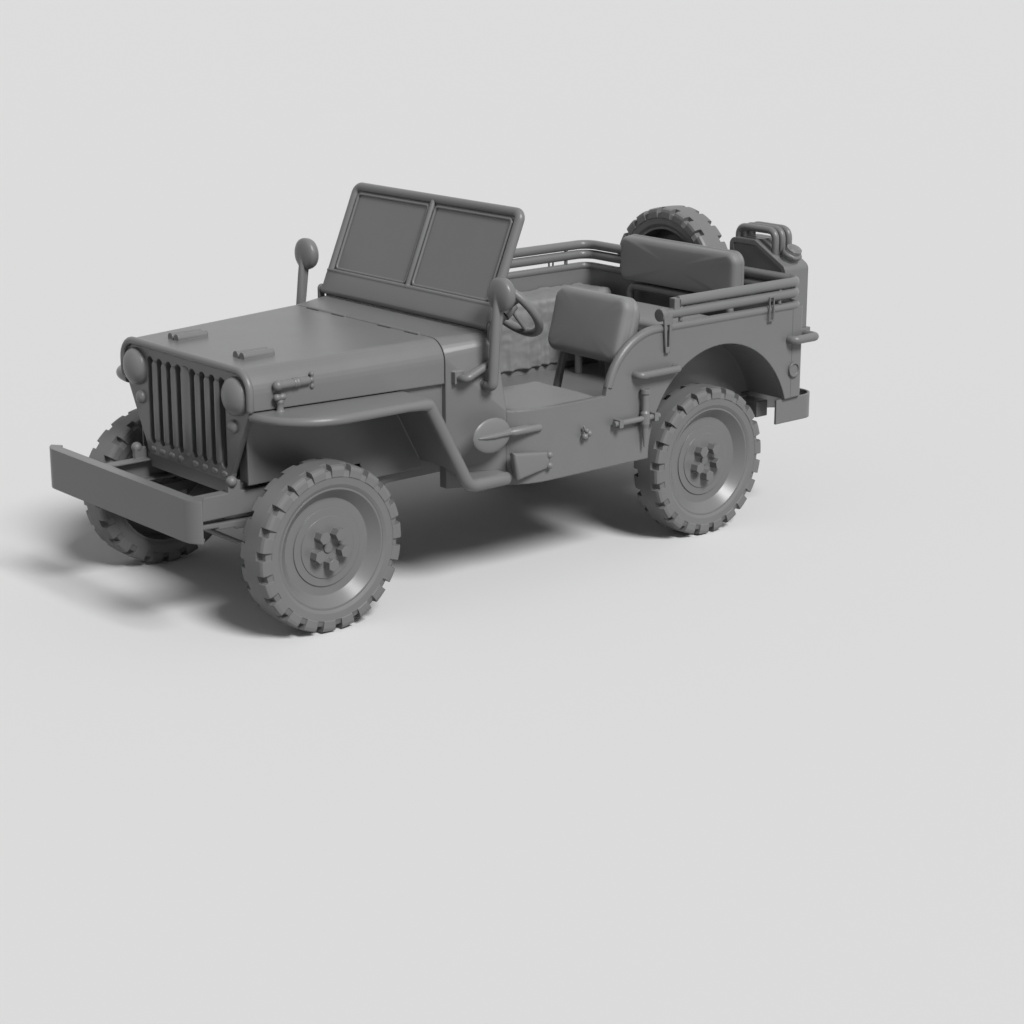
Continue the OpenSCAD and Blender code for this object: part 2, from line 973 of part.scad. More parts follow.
// A lamp that faces forward: a domed lens on the panel and a narrower can behind
module lamp(r, hole, skirt, dome, can_r, back) {
    rotate([90, 0, 0]) rotate_extrude() polygon(concat(
        [[0, -back], [can_r, -back], [can_r, -grille_wall], [hole, -grille_wall], [hole, 0], [r, 0]],
        [for (i = [0:arc_steps]) let (a = 90 * i / arc_steps) [r * cos(a), skirt + dome * sin(a)]]));
}

module lamps() color(metal) {
    both() {
        translate([lamp_x, grille_face, lamp_z])
            lamp(lamp_r, lamp_hole, lamp_skirt, lamp_dome, lamp_can_r, lamp_back);
        translate([marker_x, grille_face, marker_z])
            lamp(marker_r, marker_hole, marker_skirt, marker_dome, marker_can_r, marker_back);
        translate([tail_lamp_x, tub_rear, tail_lamp_z]) rotate([-90, 0, 0])
            cylinder(r = tail_lamp_r, h = tail_lamp_length);
    }
}

// Fenders

function cowl_inside(y) = mix(cowl_front_half, cowl_low_half, (y - cowl_front - cowl_wall)
    / (cowl_rear + overrun - cowl_front - cowl_wall)) - cowl_wall;
function cowl_side(y) =
    mix(cowl_front_half, cowl_low_half, (y - cowl_front) / (cowl_rear - cowl_front));

module fender_band(t) {
    slope = atan2(fender_top - step_top, fender_foot - fender_bend);
    shift = t * tan(slope / 2);
    polygon([[fender_front, fender_top], [fender_bend, fender_top], [fender_foot, step_top],
        [step_end, step_top], [step_end, step_top - t], [fender_foot - shift, step_top - t],
        [fender_bend - shift, fender_top - t], [fender_front, fender_top - t]]);
}

module fender_plan(inset) {
    polygon(concat([[apron_out - fender_wall, fender_front + inset]],
        arc([tub_half - fender_corner, fender_front + fender_corner], fender_corner - inset, -90, 0),
        [[tub_half - inset, step_end], [cowl_side(step_end) + seat_gap, step_end],
        [cowl_front_half + seat_gap, cowl_front], [apron_out - fender_wall, cowl_front - seat_gap]]));
}

module fender() color(paint) difference() {
    union() {
        intersection() {
            across(0, tub_half) fender_band(fender_wall);
            upward(0, fender_top) fender_plan(0);
        }
        intersection() {
            across(0, tub_half) fender_band(fender_lip);
            upward(0, fender_top) difference() {
                fender_plan(0);
                fender_plan(lip_wall);
            }
        }
        block([apron_out - fender_wall, grille_face + grille_wall + seat_gap, radiator_seat],
            [apron_out, fender_bend, fender_top]);
        translate([catch_post_x, catch_front, fender_top - fender_wall])
            cylinder(r = post_r, h = post_top - fender_top + fender_wall);
        translate([catch_post_x, catch_front, post_top]) rotate([90, 0, 0])
            cylinder(r = post_head_r, h = 2 * post_head, center = true);
        block([rail_in, gusset_y, radiator_seat], [apron_out, gusset_y + fender_wall, fender_top]);
    }
    block([0, fender_front - overrun, radiator_seat - overrun],
        [grille_half + seat_gap, grille_face + grille_wall + seat_gap, fender_top + overrun]);
}

module fender_left() fender();

module fender_right() mirror([1, 0, 0]) fender();

// Tub

function plan(inset) = concat(
    arc([tub_half - flare_r, flare_y], flare_r - inset, -flare_turn, 0),
    arc([tub_half - corner_r, tub_rear - corner_r], corner_r - inset, 0, 90));

module side_outline() {
    c = [quarter_y, tub_top - quarter_r];
    end = 180 - asin((sill_top - c[1]) / quarter_r);
    difference() {
        polygon(concat([[cowl_rear, sill_bottom], [wheelbase, sill_bottom], [wheelbase, tail_bottom],
            [tub_rear, tail_bottom], [tub_rear, tub_top]], arc(c, quarter_r, 90, end),
            [[cowl_rear, sill_top]]));
        translate([wheelbase, arch_z]) circle(arch_radius);
    }
}

module top_bead() {
    x = tub_half - wall / 2;
    rod([x, quarter_y, bead_z], [x, tub_rear - corner_r, bead_z], bead_r);
    translate([x, quarter_y, tub_top - quarter_r]) rotate([90, 0, 90]) rotate([0, 0, 90])
        rotate_extrude(angle = bead_sweep) translate([bead_z - tub_top + quarter_r, 0]) circle(bead_r);
    translate([tub_half - corner_r, tub_rear - corner_r, bead_z])
        rotate_extrude(angle = 90) translate([corner_r - wall / 2, 0]) circle(bead_r);
}

module side_panel() color(paint) {
    intersection() {
        upward(sill_bottom, tub_top) polygon(concat(plan(0), flip(plan(wall))));
        across(0, tub_half) side_outline();
    }
    top_bead();
}

module side_left() side_panel();

module side_right() mirror([1, 0, 0]) side_panel();

module rear_panel() color(paint) {
    half = tub_half - corner_r;
    block([-half, tub_rear - wall, tail_bottom], [half, tub_rear, tub_top]);
    rod([-half, tub_rear - wall / 2, bead_z], [half, tub_rear - wall / 2, bead_z], bead_r);
}

module floor_outline() {
    half = concat([[cowl_front_half - cowl_wall - seat_gap, cowl_front + cowl_wall + seat_gap],
        [cowl_inside(cowl_rear) - seat_gap, cowl_rear]],
        [for (p = plan(wall + seat_gap)) if (p[1] > cowl_rear) p],
        [[tub_half - corner_r, tub_rear - wall - seat_gap]]);
    polygon(concat(half, flip([for (p = half) [-p[0], p[1]]])));
}

// The floor, with a bar on each side at the rear that carries a ledge
module floor_pan() color(paint) {
    upward(rail_top, floor_top) difference() {
        floor_outline();
        for (s = [-1, 1]) {
            translate([s * (tub_half + box_in) / 2, wheelbase])
                square([tub_half - box_in + 2 * seat_gap, 2 * box_half + 2 * seat_gap], center = true);
            translate([s * (tub_half + ledge_in) / 2, wheelbase + box_half + rear_overhang / 2])
                square([tub_half - ledge_in, rear_overhang], center = true);
        }
    }
    both() block([ledge_in - floor_wall, wheelbase + box_half + seat_gap, rail_top],
        [ledge_in, tub_rear - wall - seat_gap, tail_bottom]);
}

// A raised ledge behind each wheel box, clear of the bumper under it
module tail_ledges() color(paint) both() upward(tail_bottom, tail_bottom + floor_wall) intersection() {
    floor_outline();
    translate([ledge_in - floor_wall, wheelbase + box_half + seat_gap])
        square([tub_half, rear_overhang]);
}

module wheel_boxes() color(paint) both() difference() {
    block([box_in, wheelbase - box_half, rail_top], [tub_half - wall, wheelbase + box_half, box_top]);
    rod([box_in + wall, wheelbase, arch_z], [tub_half + overrun, wheelbase, arch_z], arch_radius);
    block([box_in - overrun, bumperette_front - ledge_gap, rail_top - overrun],
        [tub_half, tub_rear, tail_bottom]);
}

// Cowl

module cowl_section(low_half, top_half, top, r, shoulder, bottom) {
    for (s = [-1, 1]) translate([s * (top_half - r), top - r]) circle(r, $fn = hull_fn);
    translate([-low_half, bottom]) square([2 * low_half, shoulder - bottom]);
}

module cowl_form(inset, front, rear, bottom) hull() {
    along(front, front + thin) cowl_section(cowl_front_half - inset, cowl_front_half - inset,
        cowl_front_top - inset, cowl_front_r - inset, sill_top, bottom);
    along(rear - thin, rear) cowl_section(cowl_low_half - inset, cowl_rear_half - inset,
        cowl_top - inset, cowl_rear_r - inset, sill_top, bottom);
}

module hinge_ear(side) {
    x = side * (screen_half + hinge_lift);
    rod([x, screen_y, screen_z], [x + side * hinge_ear, screen_y, screen_z], screen_r);
    rod([x + side * hinge_ear, screen_y, screen_z],
        [x - side * hinge_pin_in, screen_y, screen_z], hinge_pin_r);
    block([min(x, x + side * hinge_ear), screen_y - screen_r, cowl_top - cowl_rear_r],
        [max(x, x + side * hinge_ear), screen_y + hinge_set, screen_z]);
}

// The bent bar from a square plate on the cowl's side up to the windscreen's hinge
module side_stay(side) {
    x0 = side * (cowl_front_half - cowl_wall / 2);
    x1 = side * stay_x;
    block([min(x0, x1), stay_front - stay_plate, stay_low - stay_plate],
        [max(x0, x1), stay_front + stay_plate, stay_low + stay_plate]);
    reach = norm([stay_rear - stay_front, stay_high - stay_low]);
    out = side * (stay_x + stay_out);
    translate([0, stay_front, stay_low])
        rotate([atan2(stay_high - stay_low, stay_rear - stay_front), 0, 0])
            tube([[side * cowl_front_half, 0, 0], [out, 0, 0], [out, reach, 0],
                [side * cowl_front_half, reach, 0]], stay_r, stay_bend);
}

module cowl() color(paint) {
    difference() {
        cowl_form(0, cowl_front, cowl_rear, sill_bottom);
        cowl_form(cowl_wall, cowl_front + cowl_wall, cowl_rear + overrun, sill_bottom - overrun);
        block([2 * cowl_wall - cowl_front_half, cowl_front - overrun, sill_bottom - overrun],
            [cowl_front_half - 2 * cowl_wall, cowl_front + 2 * cowl_wall, rail_top]);
        for (s = [-1, 1]) barrel_notch(s * barrel_x);
    }
    block([-cowl_rear_half + cowl_wall, cowl_rear - dash_wall, dash_bottom],
        [cowl_rear_half - cowl_wall, cowl_rear, cowl_top - cowl_wall]);
    for (s = [-1, 1]) {
        hinge_ear(s);
        for (e = [-1, 1]) barrel(s * barrel_x + e * (2 * barrel_half + barrel_gap));
        rod([s * (cowl_front_half + cowl_wall), mirror_foot_y, mirror_foot_z],
            [s * mirror_boss, mirror_foot_y, mirror_foot_z], mirror_boss_r);
        side_stay(s);
    }
}

module barrel(x) {
    rod([x - barrel_half, hinge_y, hinge_z], [x + barrel_half, hinge_y, hinge_z], barrel_r);
}

module barrel_notch(x) {
    rod([x - barrel_half - barrel_gap, hinge_y, hinge_z], [x + barrel_half + barrel_gap, hinge_y, hinge_z],
        barrel_r + move_gap);
}

// Hood

module hood_form(inset, front, rear, bottom) hull() {
    along(front, front + thin) cowl_section(hood_front_half - inset, hood_front_half - inset,
        hood_front_top - inset, hood_front_r - inset, hood_shoulder, bottom);
    along(rear - thin, rear) cowl_section(cowl_front_half - inset, cowl_front_half - inset,
        cowl_front_top - inset, cowl_front_r - inset, hood_shoulder, bottom);
}

module hood() color(paint) {
    difference() {
        hood_form(0, hood_front, hood_rear, hood_bottom);
        hood_form(hood_wall, hood_front - thin, hood_rear + thin, hood_bottom - overrun);
        for (s = [-1, 1], e = [-1, 1]) barrel_notch(s * barrel_x + e * (2 * barrel_half + barrel_gap));
    }
    for (s = [-1, 1]) {
        barrel(s * barrel_x);
        for (e = [-1, 1]) rod([s * rest_x + e * rest_apart, rest_front, rest_z],
            [s * rest_x + e * rest_apart, rest_rear, rest_z], rest_r);
        rod([s * catch_x, catch_front, catch_z], [s * catch_x, catch_rear, catch_z], catch_r);
    }
}

// Windscreen, drawn flat with its lower tube on the hinge line

module raked() {
    translate([0, screen_y, screen_z]) rotate([-screen_rake, 0, 0]) children();
}

module windscreen_frame() color(paint) raked() difference() {
    half = screen_half - screen_r;
    top = screen_height - screen_r;
    union() {
        tube([[-half, 0, 0], [-half, 0, top], [half, 0, top], [half, 0, 0]], screen_r, screen_bend);
        rod([-screen_half, 0, 0], [screen_half, 0, 0], screen_r);
        block([-half, -screen_panel / 2, 0], [half, screen_panel / 2, screen_sill]);
        block([-divider_half, -divider_wall / 2, 0], [divider_half, divider_wall / 2, top]);
    }
    for (s = [-1, 1]) rod([s * (screen_half + overrun), 0, 0],
        [s * (screen_half + hinge_lift - hinge_pin_in - move_gap), 0, 0], hinge_pin_r + run_gap);
}

module windscreen_panes() color(pane) raked() both() along(-pane_wall / 2, pane_wall / 2) {
    low = screen_sill + seat_gap;
    out = screen_half - 2 * screen_r - seat_gap;
    top = screen_height - 2 * screen_r - seat_gap;
    r = screen_bend - screen_r;
    polygon(concat([[divider_half + seat_gap, top], [divider_half + seat_gap, low], [out, low]],
        arc([out - r, top - r], r, 0, 90)));
}

// Steering wheel and controls

module on_column() {
    translate([steering_x, steering_y, steering_z]) rotate([column_tilt - 90, 0, 0]) children();
}

module steering_wheel() color(dark_paint) on_column() {
    rotate_extrude() translate([steering_r - steering_rim, 0]) circle(steering_rim);
    translate([0, 0, -steering_hub]) cylinder(r = steering_hub_r, h = steering_hub + steering_rim);
    translate([0, 0, -steering_hub - steering_shaft])
        cylinder(r = shaft_core_r, h = steering_shaft + steering_rim);
    for (i = [0:spoke_count - 1]) rotate([0, 0, 90 + 360 * i / spoke_count])
        rod([0, 0, 0], [steering_r - steering_rim, 0, 0], spoke_r);
}

module pedal(x) {
    wall_y = cowl_front + cowl_wall + seat_gap;
    dip = pedal_r * pedal_half / (pedal_y - wall_y);
    rod([x, wall_y + dip, pedal_z + pedal_half], [x, pedal_y, pedal_z], pedal_r);
    translate([x, pedal_y, pedal_z]) rotate([pedal_tilt, 0, 0])
        cube([2 * pedal_half, 2 * pedal_half, pedal_wall], center = true);
}

module controls() color(dark_paint) {
    difference() {
        on_column() translate([0, 0, -steering_hub - column_gap]) difference() {
            translate([0, 0, -column_length]) cylinder(r = column_r, h = column_length);
            translate([0, 0, -steering_shaft - column_gap])
                cylinder(r = shaft_core_r + run_gap, h = steering_shaft + column_gap + overrun);
        }
        block([0, -overrun, 0], [tub_half, cowl_front + cowl_wall + seat_gap, cowl_top]);
    }
    for (x = pedal_places) pedal(x);
    for (i = [-1:1]) {
        foot = [lever_x + i * lever_apart, lever_y, floor_top + boot_rise / 2];
        tip = [lever_x + i * lever_apart, lever_y + lever_lean, lever_top];
        rod(foot, tip, lever_r);
        translate([foot[0], foot[1], floor_top]) cylinder(r = boot_r, h = boot_rise);
        translate(tip) sphere(knob_r);
    }
}

// Seats

function back_point(x, v, w) = [x, back_y + v * sin(back_lean) + w * cos(back_lean),
    back_z + v * cos(back_lean) - w * sin(back_lean)];

module seat_frame() {
    base_z = seat_top - base_wall - seat_gap - seat_tube;
    w = back_wall / 2 + seat_gap + seat_tube;
    low = -(back_z - w * sin(back_lean) - floor_top - foot_wall / 2) / cos(back_lean);
    top = back_height - leg_inset;
    for (s = [-1, 1]) {
        x = s * seat_leg_x;
        tube([[x, base_front + leg_inset, floor_top], [x, base_front + leg_inset, base_z],
            [x, base_rear - leg_inset, base_z], [x, base_rear - leg_inset, floor_top]],
            seat_tube, seat_bend);
    }
    translate(back_point(0, 0, w)) rotate([-back_lean, 0, 0])
        tube([[-seat_leg_x, 0, low], [-seat_leg_x, 0, top], [seat_leg_x, 0, top], [seat_leg_x, 0, low]],
            seat_tube, seat_bend);
    for (s = [-1, 1]) {
        p = back_point(s * seat_leg_x, low, w);
        block([p[0] - foot_half, p[1] - foot_half, floor_top],
            [p[0] + foot_half, p[1] + foot_half, floor_top + foot_wall]);
    }
}

module seat_frames() color(dark_paint)
    for (s = [-1, 1]) translate([s * seat_x, 0, 0]) seat_frame();

module seat_cushions() color(cloth) for (s = [-1, 1]) translate([s * seat_x, 0, 0]) {
    translate([0, (base_front + base_rear) / 2, seat_top - base_wall / 2])
        pad([2 * seat_half, base_rear - base_front, base_wall], pad_r, pad_soft);
    translate(back_point(0, back_height / 2, 0)) rotate([90 - back_lean, 0, 0])
        pad([2 * seat_half, back_height, back_wall], pad_r, pad_soft);
}

module bench_frame() color(dark_paint) at_rear() {
    z = bench_top - bench_wall - seat_gap - seat_tube;
    both() tube([[bench_leg_x, bench_leg_front, floor_top], [bench_leg_x, bench_leg_front, z],
        [bench_leg_x, bench_leg_rear, z], [bench_leg_x, bench_leg_rear, floor_top]], seat_tube, seat_bend);
    for (y = [bench_leg_front + leg_inset, bench_leg_rear - leg_inset])
        rod([-bench_leg_x, y, z], [bench_leg_x, y, z], seat_tube);
    back = (bench_back_front + bench_back_rear) / 2;
    back_bottom = bench_back_bottom - seat_gap - seat_tube;
    tube([[-bench_leg_x, back, floor_top], [-bench_leg_x, back, back_bottom],
        [bench_leg_x, back, back_bottom], [bench_leg_x, back, floor_top]], seat_tube, seat_bend);
}

module bench_cushions() color(cloth) at_rear() {
    translate([0, (bench_front + bench_rear) / 2, bench_top - bench_wall / 2])
        pad([2 * bench_half, bench_rear - bench_front, bench_wall], pad_r, pad_soft);
    translate([0, (bench_back_front + bench_back_rear) / 2, (bench_back_bottom + bench_back_top) / 2])
        rotate([90, 0, 0]) pad([2 * bench_half, bench_back_top - bench_back_bottom,
            bench_back_rear - bench_back_front], pad_r, pad_soft);
}

// Folded top

module bow(front, z) {
    tube([[bow_x, front, z], [bow_x, bow_rear, z], [-bow_x, bow_rear, z], [-bow_x, front, z]],
        bow_r, bow_bend);
}

module top_bows() color(paint) at_rear() {
    post_foot = bead_z + bead_r + seat_gap;
    plate_x = tub_half - wall / 2 + bead_r + seat_gap;
    bow(bow_low_front, bow_low);
    bow(bow_high_front, bow_high);
    both() {
        rod([bow_x, bow_low_front - bow_cap, bow_low], [bow_x, bow_low_front, bow_low], bow_cap_r);
        for (y = bow_posts) rod([bow_x, y, post_foot], [bow_x, y, bow_high], bow_post_r);
        block([bow_x - clamp_half, bow_high_front - 2 * clamp_half, bow_low],
            [bow_x + clamp_half, bow_high_front, bow_high + clamp_half]);
        across(plate_x, plate_x + bow_plate_wall) difference() {
            polygon([[bow_low_front - bow_plate_half, bow_low], [bow_low_front + bow_plate_half, bow_low],
                [bow_low_front + bow_plate_foot, bow_plate_bottom],
                [bow_low_front - bow_plate_foot, bow_plate_bottom]]);
            translate([bow_low_front - bow_plate_slot, bow_plate_bottom + bow_plate_half])
                square([2 * bow_plate_slot, tub_top - bow_plate_bottom - bow_plate_half]);
        }
        for (e = [-1, 1]) block(
            [bow_x + bow_r, strap_y + e * strap_half - strap_wall / 2, strap_bottom],
            [bow_x + bow_r + strap_wall, strap_y + e * strap_half + strap_wall / 2, bow_low]);
        block([bow_x, strap_y - strap_half - strap_wall / 2, bow_low],
            [bow_x + bow_r + strap_wall, strap_y + strap_half + strap_wall / 2, bow_low + strap_wall]);
        block([bow_x + bow_r, strap_y - strap_half, strap_bottom],
            [bow_x + bow_r + strap_wall, strap_y + strap_half, strap_bottom + strap_wall]);
    }
}

// Rear equipment

module spare_carrier() {
    hub_y = tub_rear + spare_gap + tyre_width / 2 + hub_back - seat_gap;
    rod([spare_x, tub_rear, spare_low], [spare_x, tub_rear + carrier_plate, spare_low], carrier_plate_r);
    rod([spare_x, tub_rear, spare_low], [spare_x, tub_rear + carrier_out, spare_low], carrier_r);
    block([spare_x - carrier_r, tub_rear + carrier_out - carrier_r, spare_low - carrier_r],
        [spare_x + carrier_r, tub_rear + carrier_out, spare_z + hub_r]);
    rod([spare_x, tub_rear + carrier_out - carrier_r, spare_z], [spare_x, hub_y, spare_z], hub_r);
}

module can_tray() {
    out = tub_rear + spare_gap + can_depth + tray_gap;
    low = can_bottom - tray_wall;
    half = can_width / 2 + tray_gap;
    translate([can_x, 0, 0]) {
        block([-half, tub_rear, low], [half, out, can_bottom]);
        block([-half, out, low], [half, out + tray_wall, can_bottom + tray_rise]);
        for (s = [-1, 1]) block([s * (half + tray_wall / 2) - tray_wall / 2, tub_rear, low],
            [s * (half + tray_wall / 2) + tray_wall / 2, out + tray_wall, can_bottom + tray_rise]);
    }
}

module rear_carriers() color(paint) {
    spare_carrier();
    can_tray();
}

// Wheels and tyres, drawn about the X axis with the outer side towards +X

function section(shares) = [for (s = shares)
    [mix(rim_radius, tyre_radius, s[0]), s[1] * tyre_width / 2]];

module tyre() color(rubber) rotate([0, 90, 0]) difference() {
    rotate_extrude() polygon(section(concat(tyre_shares, flip([for (s = tyre_shares) [s[0], -s[1]]]))));
    for (side = [0, 1], i = [0:lug_count - 1])
        mirror([0, 0, side]) rotate([0, 0, 360 * (i + side / 2) / lug_count])
            rotate_extrude(angle = 360 * (1 - lug_pitch_share) / lug_count) polygon(section(notch_shares));
}

function disc_rear(drum) = drum
    ? [[drum_r, disc_face - disc_wall], [drum_r, drum_edge], [drum_r - drum_wall, drum_edge],
        [drum_r - drum_wall, disc_face - disc_wall - drum_wall], [hub_r, disc_face - disc_wall - drum_wall]]
    : [[hub_r, disc_face - disc_wall]];

module wheel(drum) color(metal) rotate([0, 90, 0]) {
    seat = rim_radius - rim_seat_gap;
    bore = spindle_r + run_gap;
    bore_end = spindle_end + spindle_slack;
    ring = disc_face + ring_rise;
    centre = ring + centre_rise;
    rotate_extrude() polygon(concat(
        [[0, bore_end], [0, centre + cap_rise], [cap_r, centre + cap_rise], [cap_r, centre],
        [ring_in, centre], [ring_in, ring], [ring_out, ring], [ring_out, disc_face], [dish_r, disc_face],
        [seat - rim_lip, rim_face], [seat, rim_face], [seat, -rim_face],
        [seat - rim_wall, -rim_face], [seat - rim_wall, disc_face],
        [dish_r, disc_face - disc_wall]], disc_rear(drum),
        [[hub_r, hub_back], [bore, hub_back], [bore, bore_end]]));
    for (i = [0:nut_count - 1]) rotate([0, 0, 360 * i / nut_count])
        translate([nut_ring_r, 0, disc_face])
            cylinder(r = nut_r, h = centre - disc_face + nut_length, $fn = hex_sides);
}

// Road wheel places: side, distance behind the front axle
module on_hub(side, y) {
    translate([side * half_track, y, hub_z]) mirror([side < 0 ? 1 : 0, 0, 0]) children();
}

module on_spare() {
    translate([spare_x, tub_rear + spare_gap + tyre_width / 2, spare_z]) rotate([0, 0, 90]) children();
}

module spare_tyre() on_spare() tyre();

module spare_wheel() on_spare() wheel(false);

// Fuel can

module can_outline(inset) {
    l = -can_width / 2 + inset;
    r = can_width / 2 - inset;
    b = can_bottom + inset;
    t = can_bottom + can_height - inset;
    c = can_r - inset;
    shoulder = mix(l, r, can_shoulder_share);
    polygon(concat(arc([l + c, b + c], c, 180, 270), arc([r - c, b + c], c, 270, 360),
        arc([r - c, t - can_slope - c], c, 0, can_slope_turn), [[shoulder, t]],
        arc([l + c, t - c], c, 90, 180)));
}

module fuel_can() color(paint) translate([can_x, tub_rear + spare_gap, 0]) {
    difference() {
        along(0, can_depth) can_outline(0);
        along(-overrun, can_recess) can_outline(can_rim);
        along(can_depth - can_recess, can_depth + overrun) can_outline(can_rim);
    }
    top = can_bottom + can_height;
    inner = -can_handle_half - can_width * can_grip_share;
    for (y = [for (i = [-1:1]) can_depth / 2 + i * can_handle_apart])
        tube([[inner, y, top - can_r], [inner, y, top + can_handle_rise],
            [can_handle_half, y, top + can_handle_rise], [can_handle_half, y, top - can_slope]],
            can_handle_r, can_handle_bend);
    translate([can_cap_x, can_depth / 2, top - can_slope]) rotate([0, can_cap_tilt, 0])
        cylinder(r = can_cap_r, h = can_cap + can_r);
}

// Tools on the left side

module tub_body() {
    outer = plan(-seat_gap);
    upward(sill_bottom, tub_top) polygon(concat(outer, [[0, tub_rear], [0, outer[0][1]]]));
}

module shovel() difference() {
    edge = [for (b = blade_shares) [mix(shovel_tip, shovel_neck, b[0]), b[1] * shovel_half]];
    union() {
        across(shovel_x - blade_wall / 2, shovel_x + blade_wall / 2) translate([0, shovel_z])
            polygon(concat(edge, flip([for (e = edge) [e[0], -e[1]]])));
        rod([shovel_x, mix(shovel_tip, shovel_neck, ridge_share), shovel_z],
            [shovel_x, shovel_neck, shovel_z], ridge_r);
        rod([shovel_x, mix(shovel_tip, shovel_neck, socket_share), shovel_z],
            [shovel_x, shovel_end, shovel_z], tool_r);
    }
    tub_body();
}

module axe_head() difference() {
    x = tub_half - axe_set;
    union() {
        across(x, x + axe_wall) polygon([
            [axe_front + axe_lean, axe_z - axe_half], [axe_back, axe_z - axe_poll],
            [axe_back, axe_z + axe_poll], [axe_front, axe_z + axe_half]]);
        for (s = [-1, 1]) translate([x + axe_wall, axe_back, axe_z + s * clip_apart]) sphere(clip_r);
    }
    tub_body();
}

module bar_tool() translate([tool_x, bar_y, bar_z]) {
    rotate_extrude() polygon([for (g = grip_shares) [g[0] * grip_r, g[1] * grip_half]]);
    rod([0, bar_front, 0], [0, bar_rear, 0], bar_r);
    for (y = [bar_front + bar_clamp_in, bar_rear - bar_clamp_in])
        block([-tool_stand, y - bar_clamp_half, -bar_clamp_rise],
            [bar_clamp_rise, y + bar_clamp_half, bar_clamp_rise]);
}

module tools() color(paint) {
    shovel();
    axe_head();
    block([tub_half, clip_y - clip_half, clip_z - clip_half],
        [tub_half + clip_wall, clip_y + clip_half, clip_z + clip_half]);
    at_rear() bar_tool();
}

// Handles and mirrors

module handles() color(paint) at_rear() both() {
    tube([[tub_half, handle_front, handle_z], [tub_half + handle_out, handle_front, handle_z],
        [tub_half + handle_out, handle_rear, handle_z], [tub_half, handle_rear, handle_z]],
        handle_r, handle_bend);
    tube([[tub_half, corner_front, corner_z], [tub_half + corner_out, corner_front, corner_z],
        [tub_half + corner_out, corner_rear, corner_z], [tub_half - corner_r, corner_rear, corner_z],
        [tub_half - corner_r, rear_overhang, corner_z]], corner_handle_r, corner_bend);
    face = reflector_wall - reflector_dip;
    translate([tub_half, reflector_y, reflector_z]) rotate([0, 90, 0]) rotate_extrude() polygon([
        [0, 0], [reflector_r, 0], [reflector_r, reflector_wall], [reflector_in, reflector_wall],
        [reflector_in, face], [0, face]]);
}

module mirrors() color(paint) both() {
    reach = norm([mirror_y - mirror_foot_y, mirror_z - mirror_foot_z]) - mirror_r * mirror_lap_share;
    translate([0, mirror_foot_y, mirror_foot_z])
        rotate([-atan2(mirror_y - mirror_foot_y, mirror_z - mirror_foot_z), 0, 0])
            tube([[mirror_boss, 0, 0], [mirror_x, 0, 0], [mirror_x, 0, reach]], mirror_arm_r, mirror_bend);
    translate([mirror_x, mirror_y, mirror_z]) rotate([90, 0, 0])
        cylinder(r = mirror_r, h = mirror_wall, center = true);
}

place() chassis_frame();
place() cross_members();
place() front_bumper();
place() rear_bumpers();
place() front_axle();
place() rear_axle();
place() springs();
place() propeller_shafts();
place() engine();
place() exhaust();
place() fuel_tank();
place() radiator();
place() grille();
place() lamps();
place() fender_left();
place() fender_right();
place() floor_pan();
place() tail_ledges();
place() cowl();
place() side_left();
place() side_right();
place() rear_panel();
place() wheel_boxes();
place() controls();
place() seat_frames();
place() seat_cushions();
place() bench_frame();
place() bench_cushions();
place() top_bows();
place() spare_tyre();
place() spare_wheel();
place() rear_carriers();
place() fuel_can();
place() tools();
place() handles();
place() mirrors();
place() hood();
place() windscreen_frame();
place() windscreen_panes();
place() steering_wheel();
place() knuckle_left();
place() knuckle_right();
place() tie_rod();
place() on_hub(1, 0) tyre();  // tyre_front_left
place() on_hub(-1, 0) tyre();  // tyre_front_right
place() on_hub(1, wheelbase) tyre();  // tyre_rear_left
place() on_hub(-1, wheelbase) tyre();  // tyre_rear_right
place() on_hub(1, 0) wheel(true);  // wheel_front_left
place() on_hub(-1, 0) wheel(true);  // wheel_front_right
place() on_hub(1, wheelbase) wheel(true);  // wheel_rear_left
place() on_hub(-1, wheelbase) wheel(true);  // wheel_rear_right
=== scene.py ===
# Studio picture of an open army 4x4 car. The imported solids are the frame, and this script adds
# the finishes, the fender skins, the sewn seats, the canvas and the small trim. Metres, in the
# frame's own axes.
import json
import math

import bmesh
import bpy
from mathutils import Matrix, Vector, noise


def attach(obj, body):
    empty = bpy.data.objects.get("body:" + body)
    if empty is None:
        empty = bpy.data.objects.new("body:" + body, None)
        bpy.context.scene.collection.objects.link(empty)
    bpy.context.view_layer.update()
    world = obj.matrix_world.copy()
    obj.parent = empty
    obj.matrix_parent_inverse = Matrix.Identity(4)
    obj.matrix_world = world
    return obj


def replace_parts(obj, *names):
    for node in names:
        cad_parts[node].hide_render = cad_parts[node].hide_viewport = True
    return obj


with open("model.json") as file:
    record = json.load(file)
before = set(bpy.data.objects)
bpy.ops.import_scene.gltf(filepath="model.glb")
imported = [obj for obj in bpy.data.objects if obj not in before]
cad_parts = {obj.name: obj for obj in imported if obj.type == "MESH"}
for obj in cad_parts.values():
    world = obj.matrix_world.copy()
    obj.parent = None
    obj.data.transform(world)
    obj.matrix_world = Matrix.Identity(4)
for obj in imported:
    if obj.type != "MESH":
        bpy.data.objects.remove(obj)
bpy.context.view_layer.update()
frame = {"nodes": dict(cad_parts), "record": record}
scene = bpy.context.scene

# Places are written in millimetres behind the front axle, as in the part's source
ORIGIN_Y = 1097.0
MM = 0.001


def at(x, y, z):
    """A place in millimetres as a point of the frame."""
    return Vector((x, y - ORIGIN_Y, z)) * MM


# Camera, floor and light

CAMERA_PLACE = Vector((7.0407, -5.6369, 2.7091))
CAMERA_WAY = Vector((-0.7341, 0.6251, -0.2653))
LENS, SENSOR_WIDTH = 75.46, 36.0
SHIFT_UP = -0.0212
SIGHT_END = 200.0

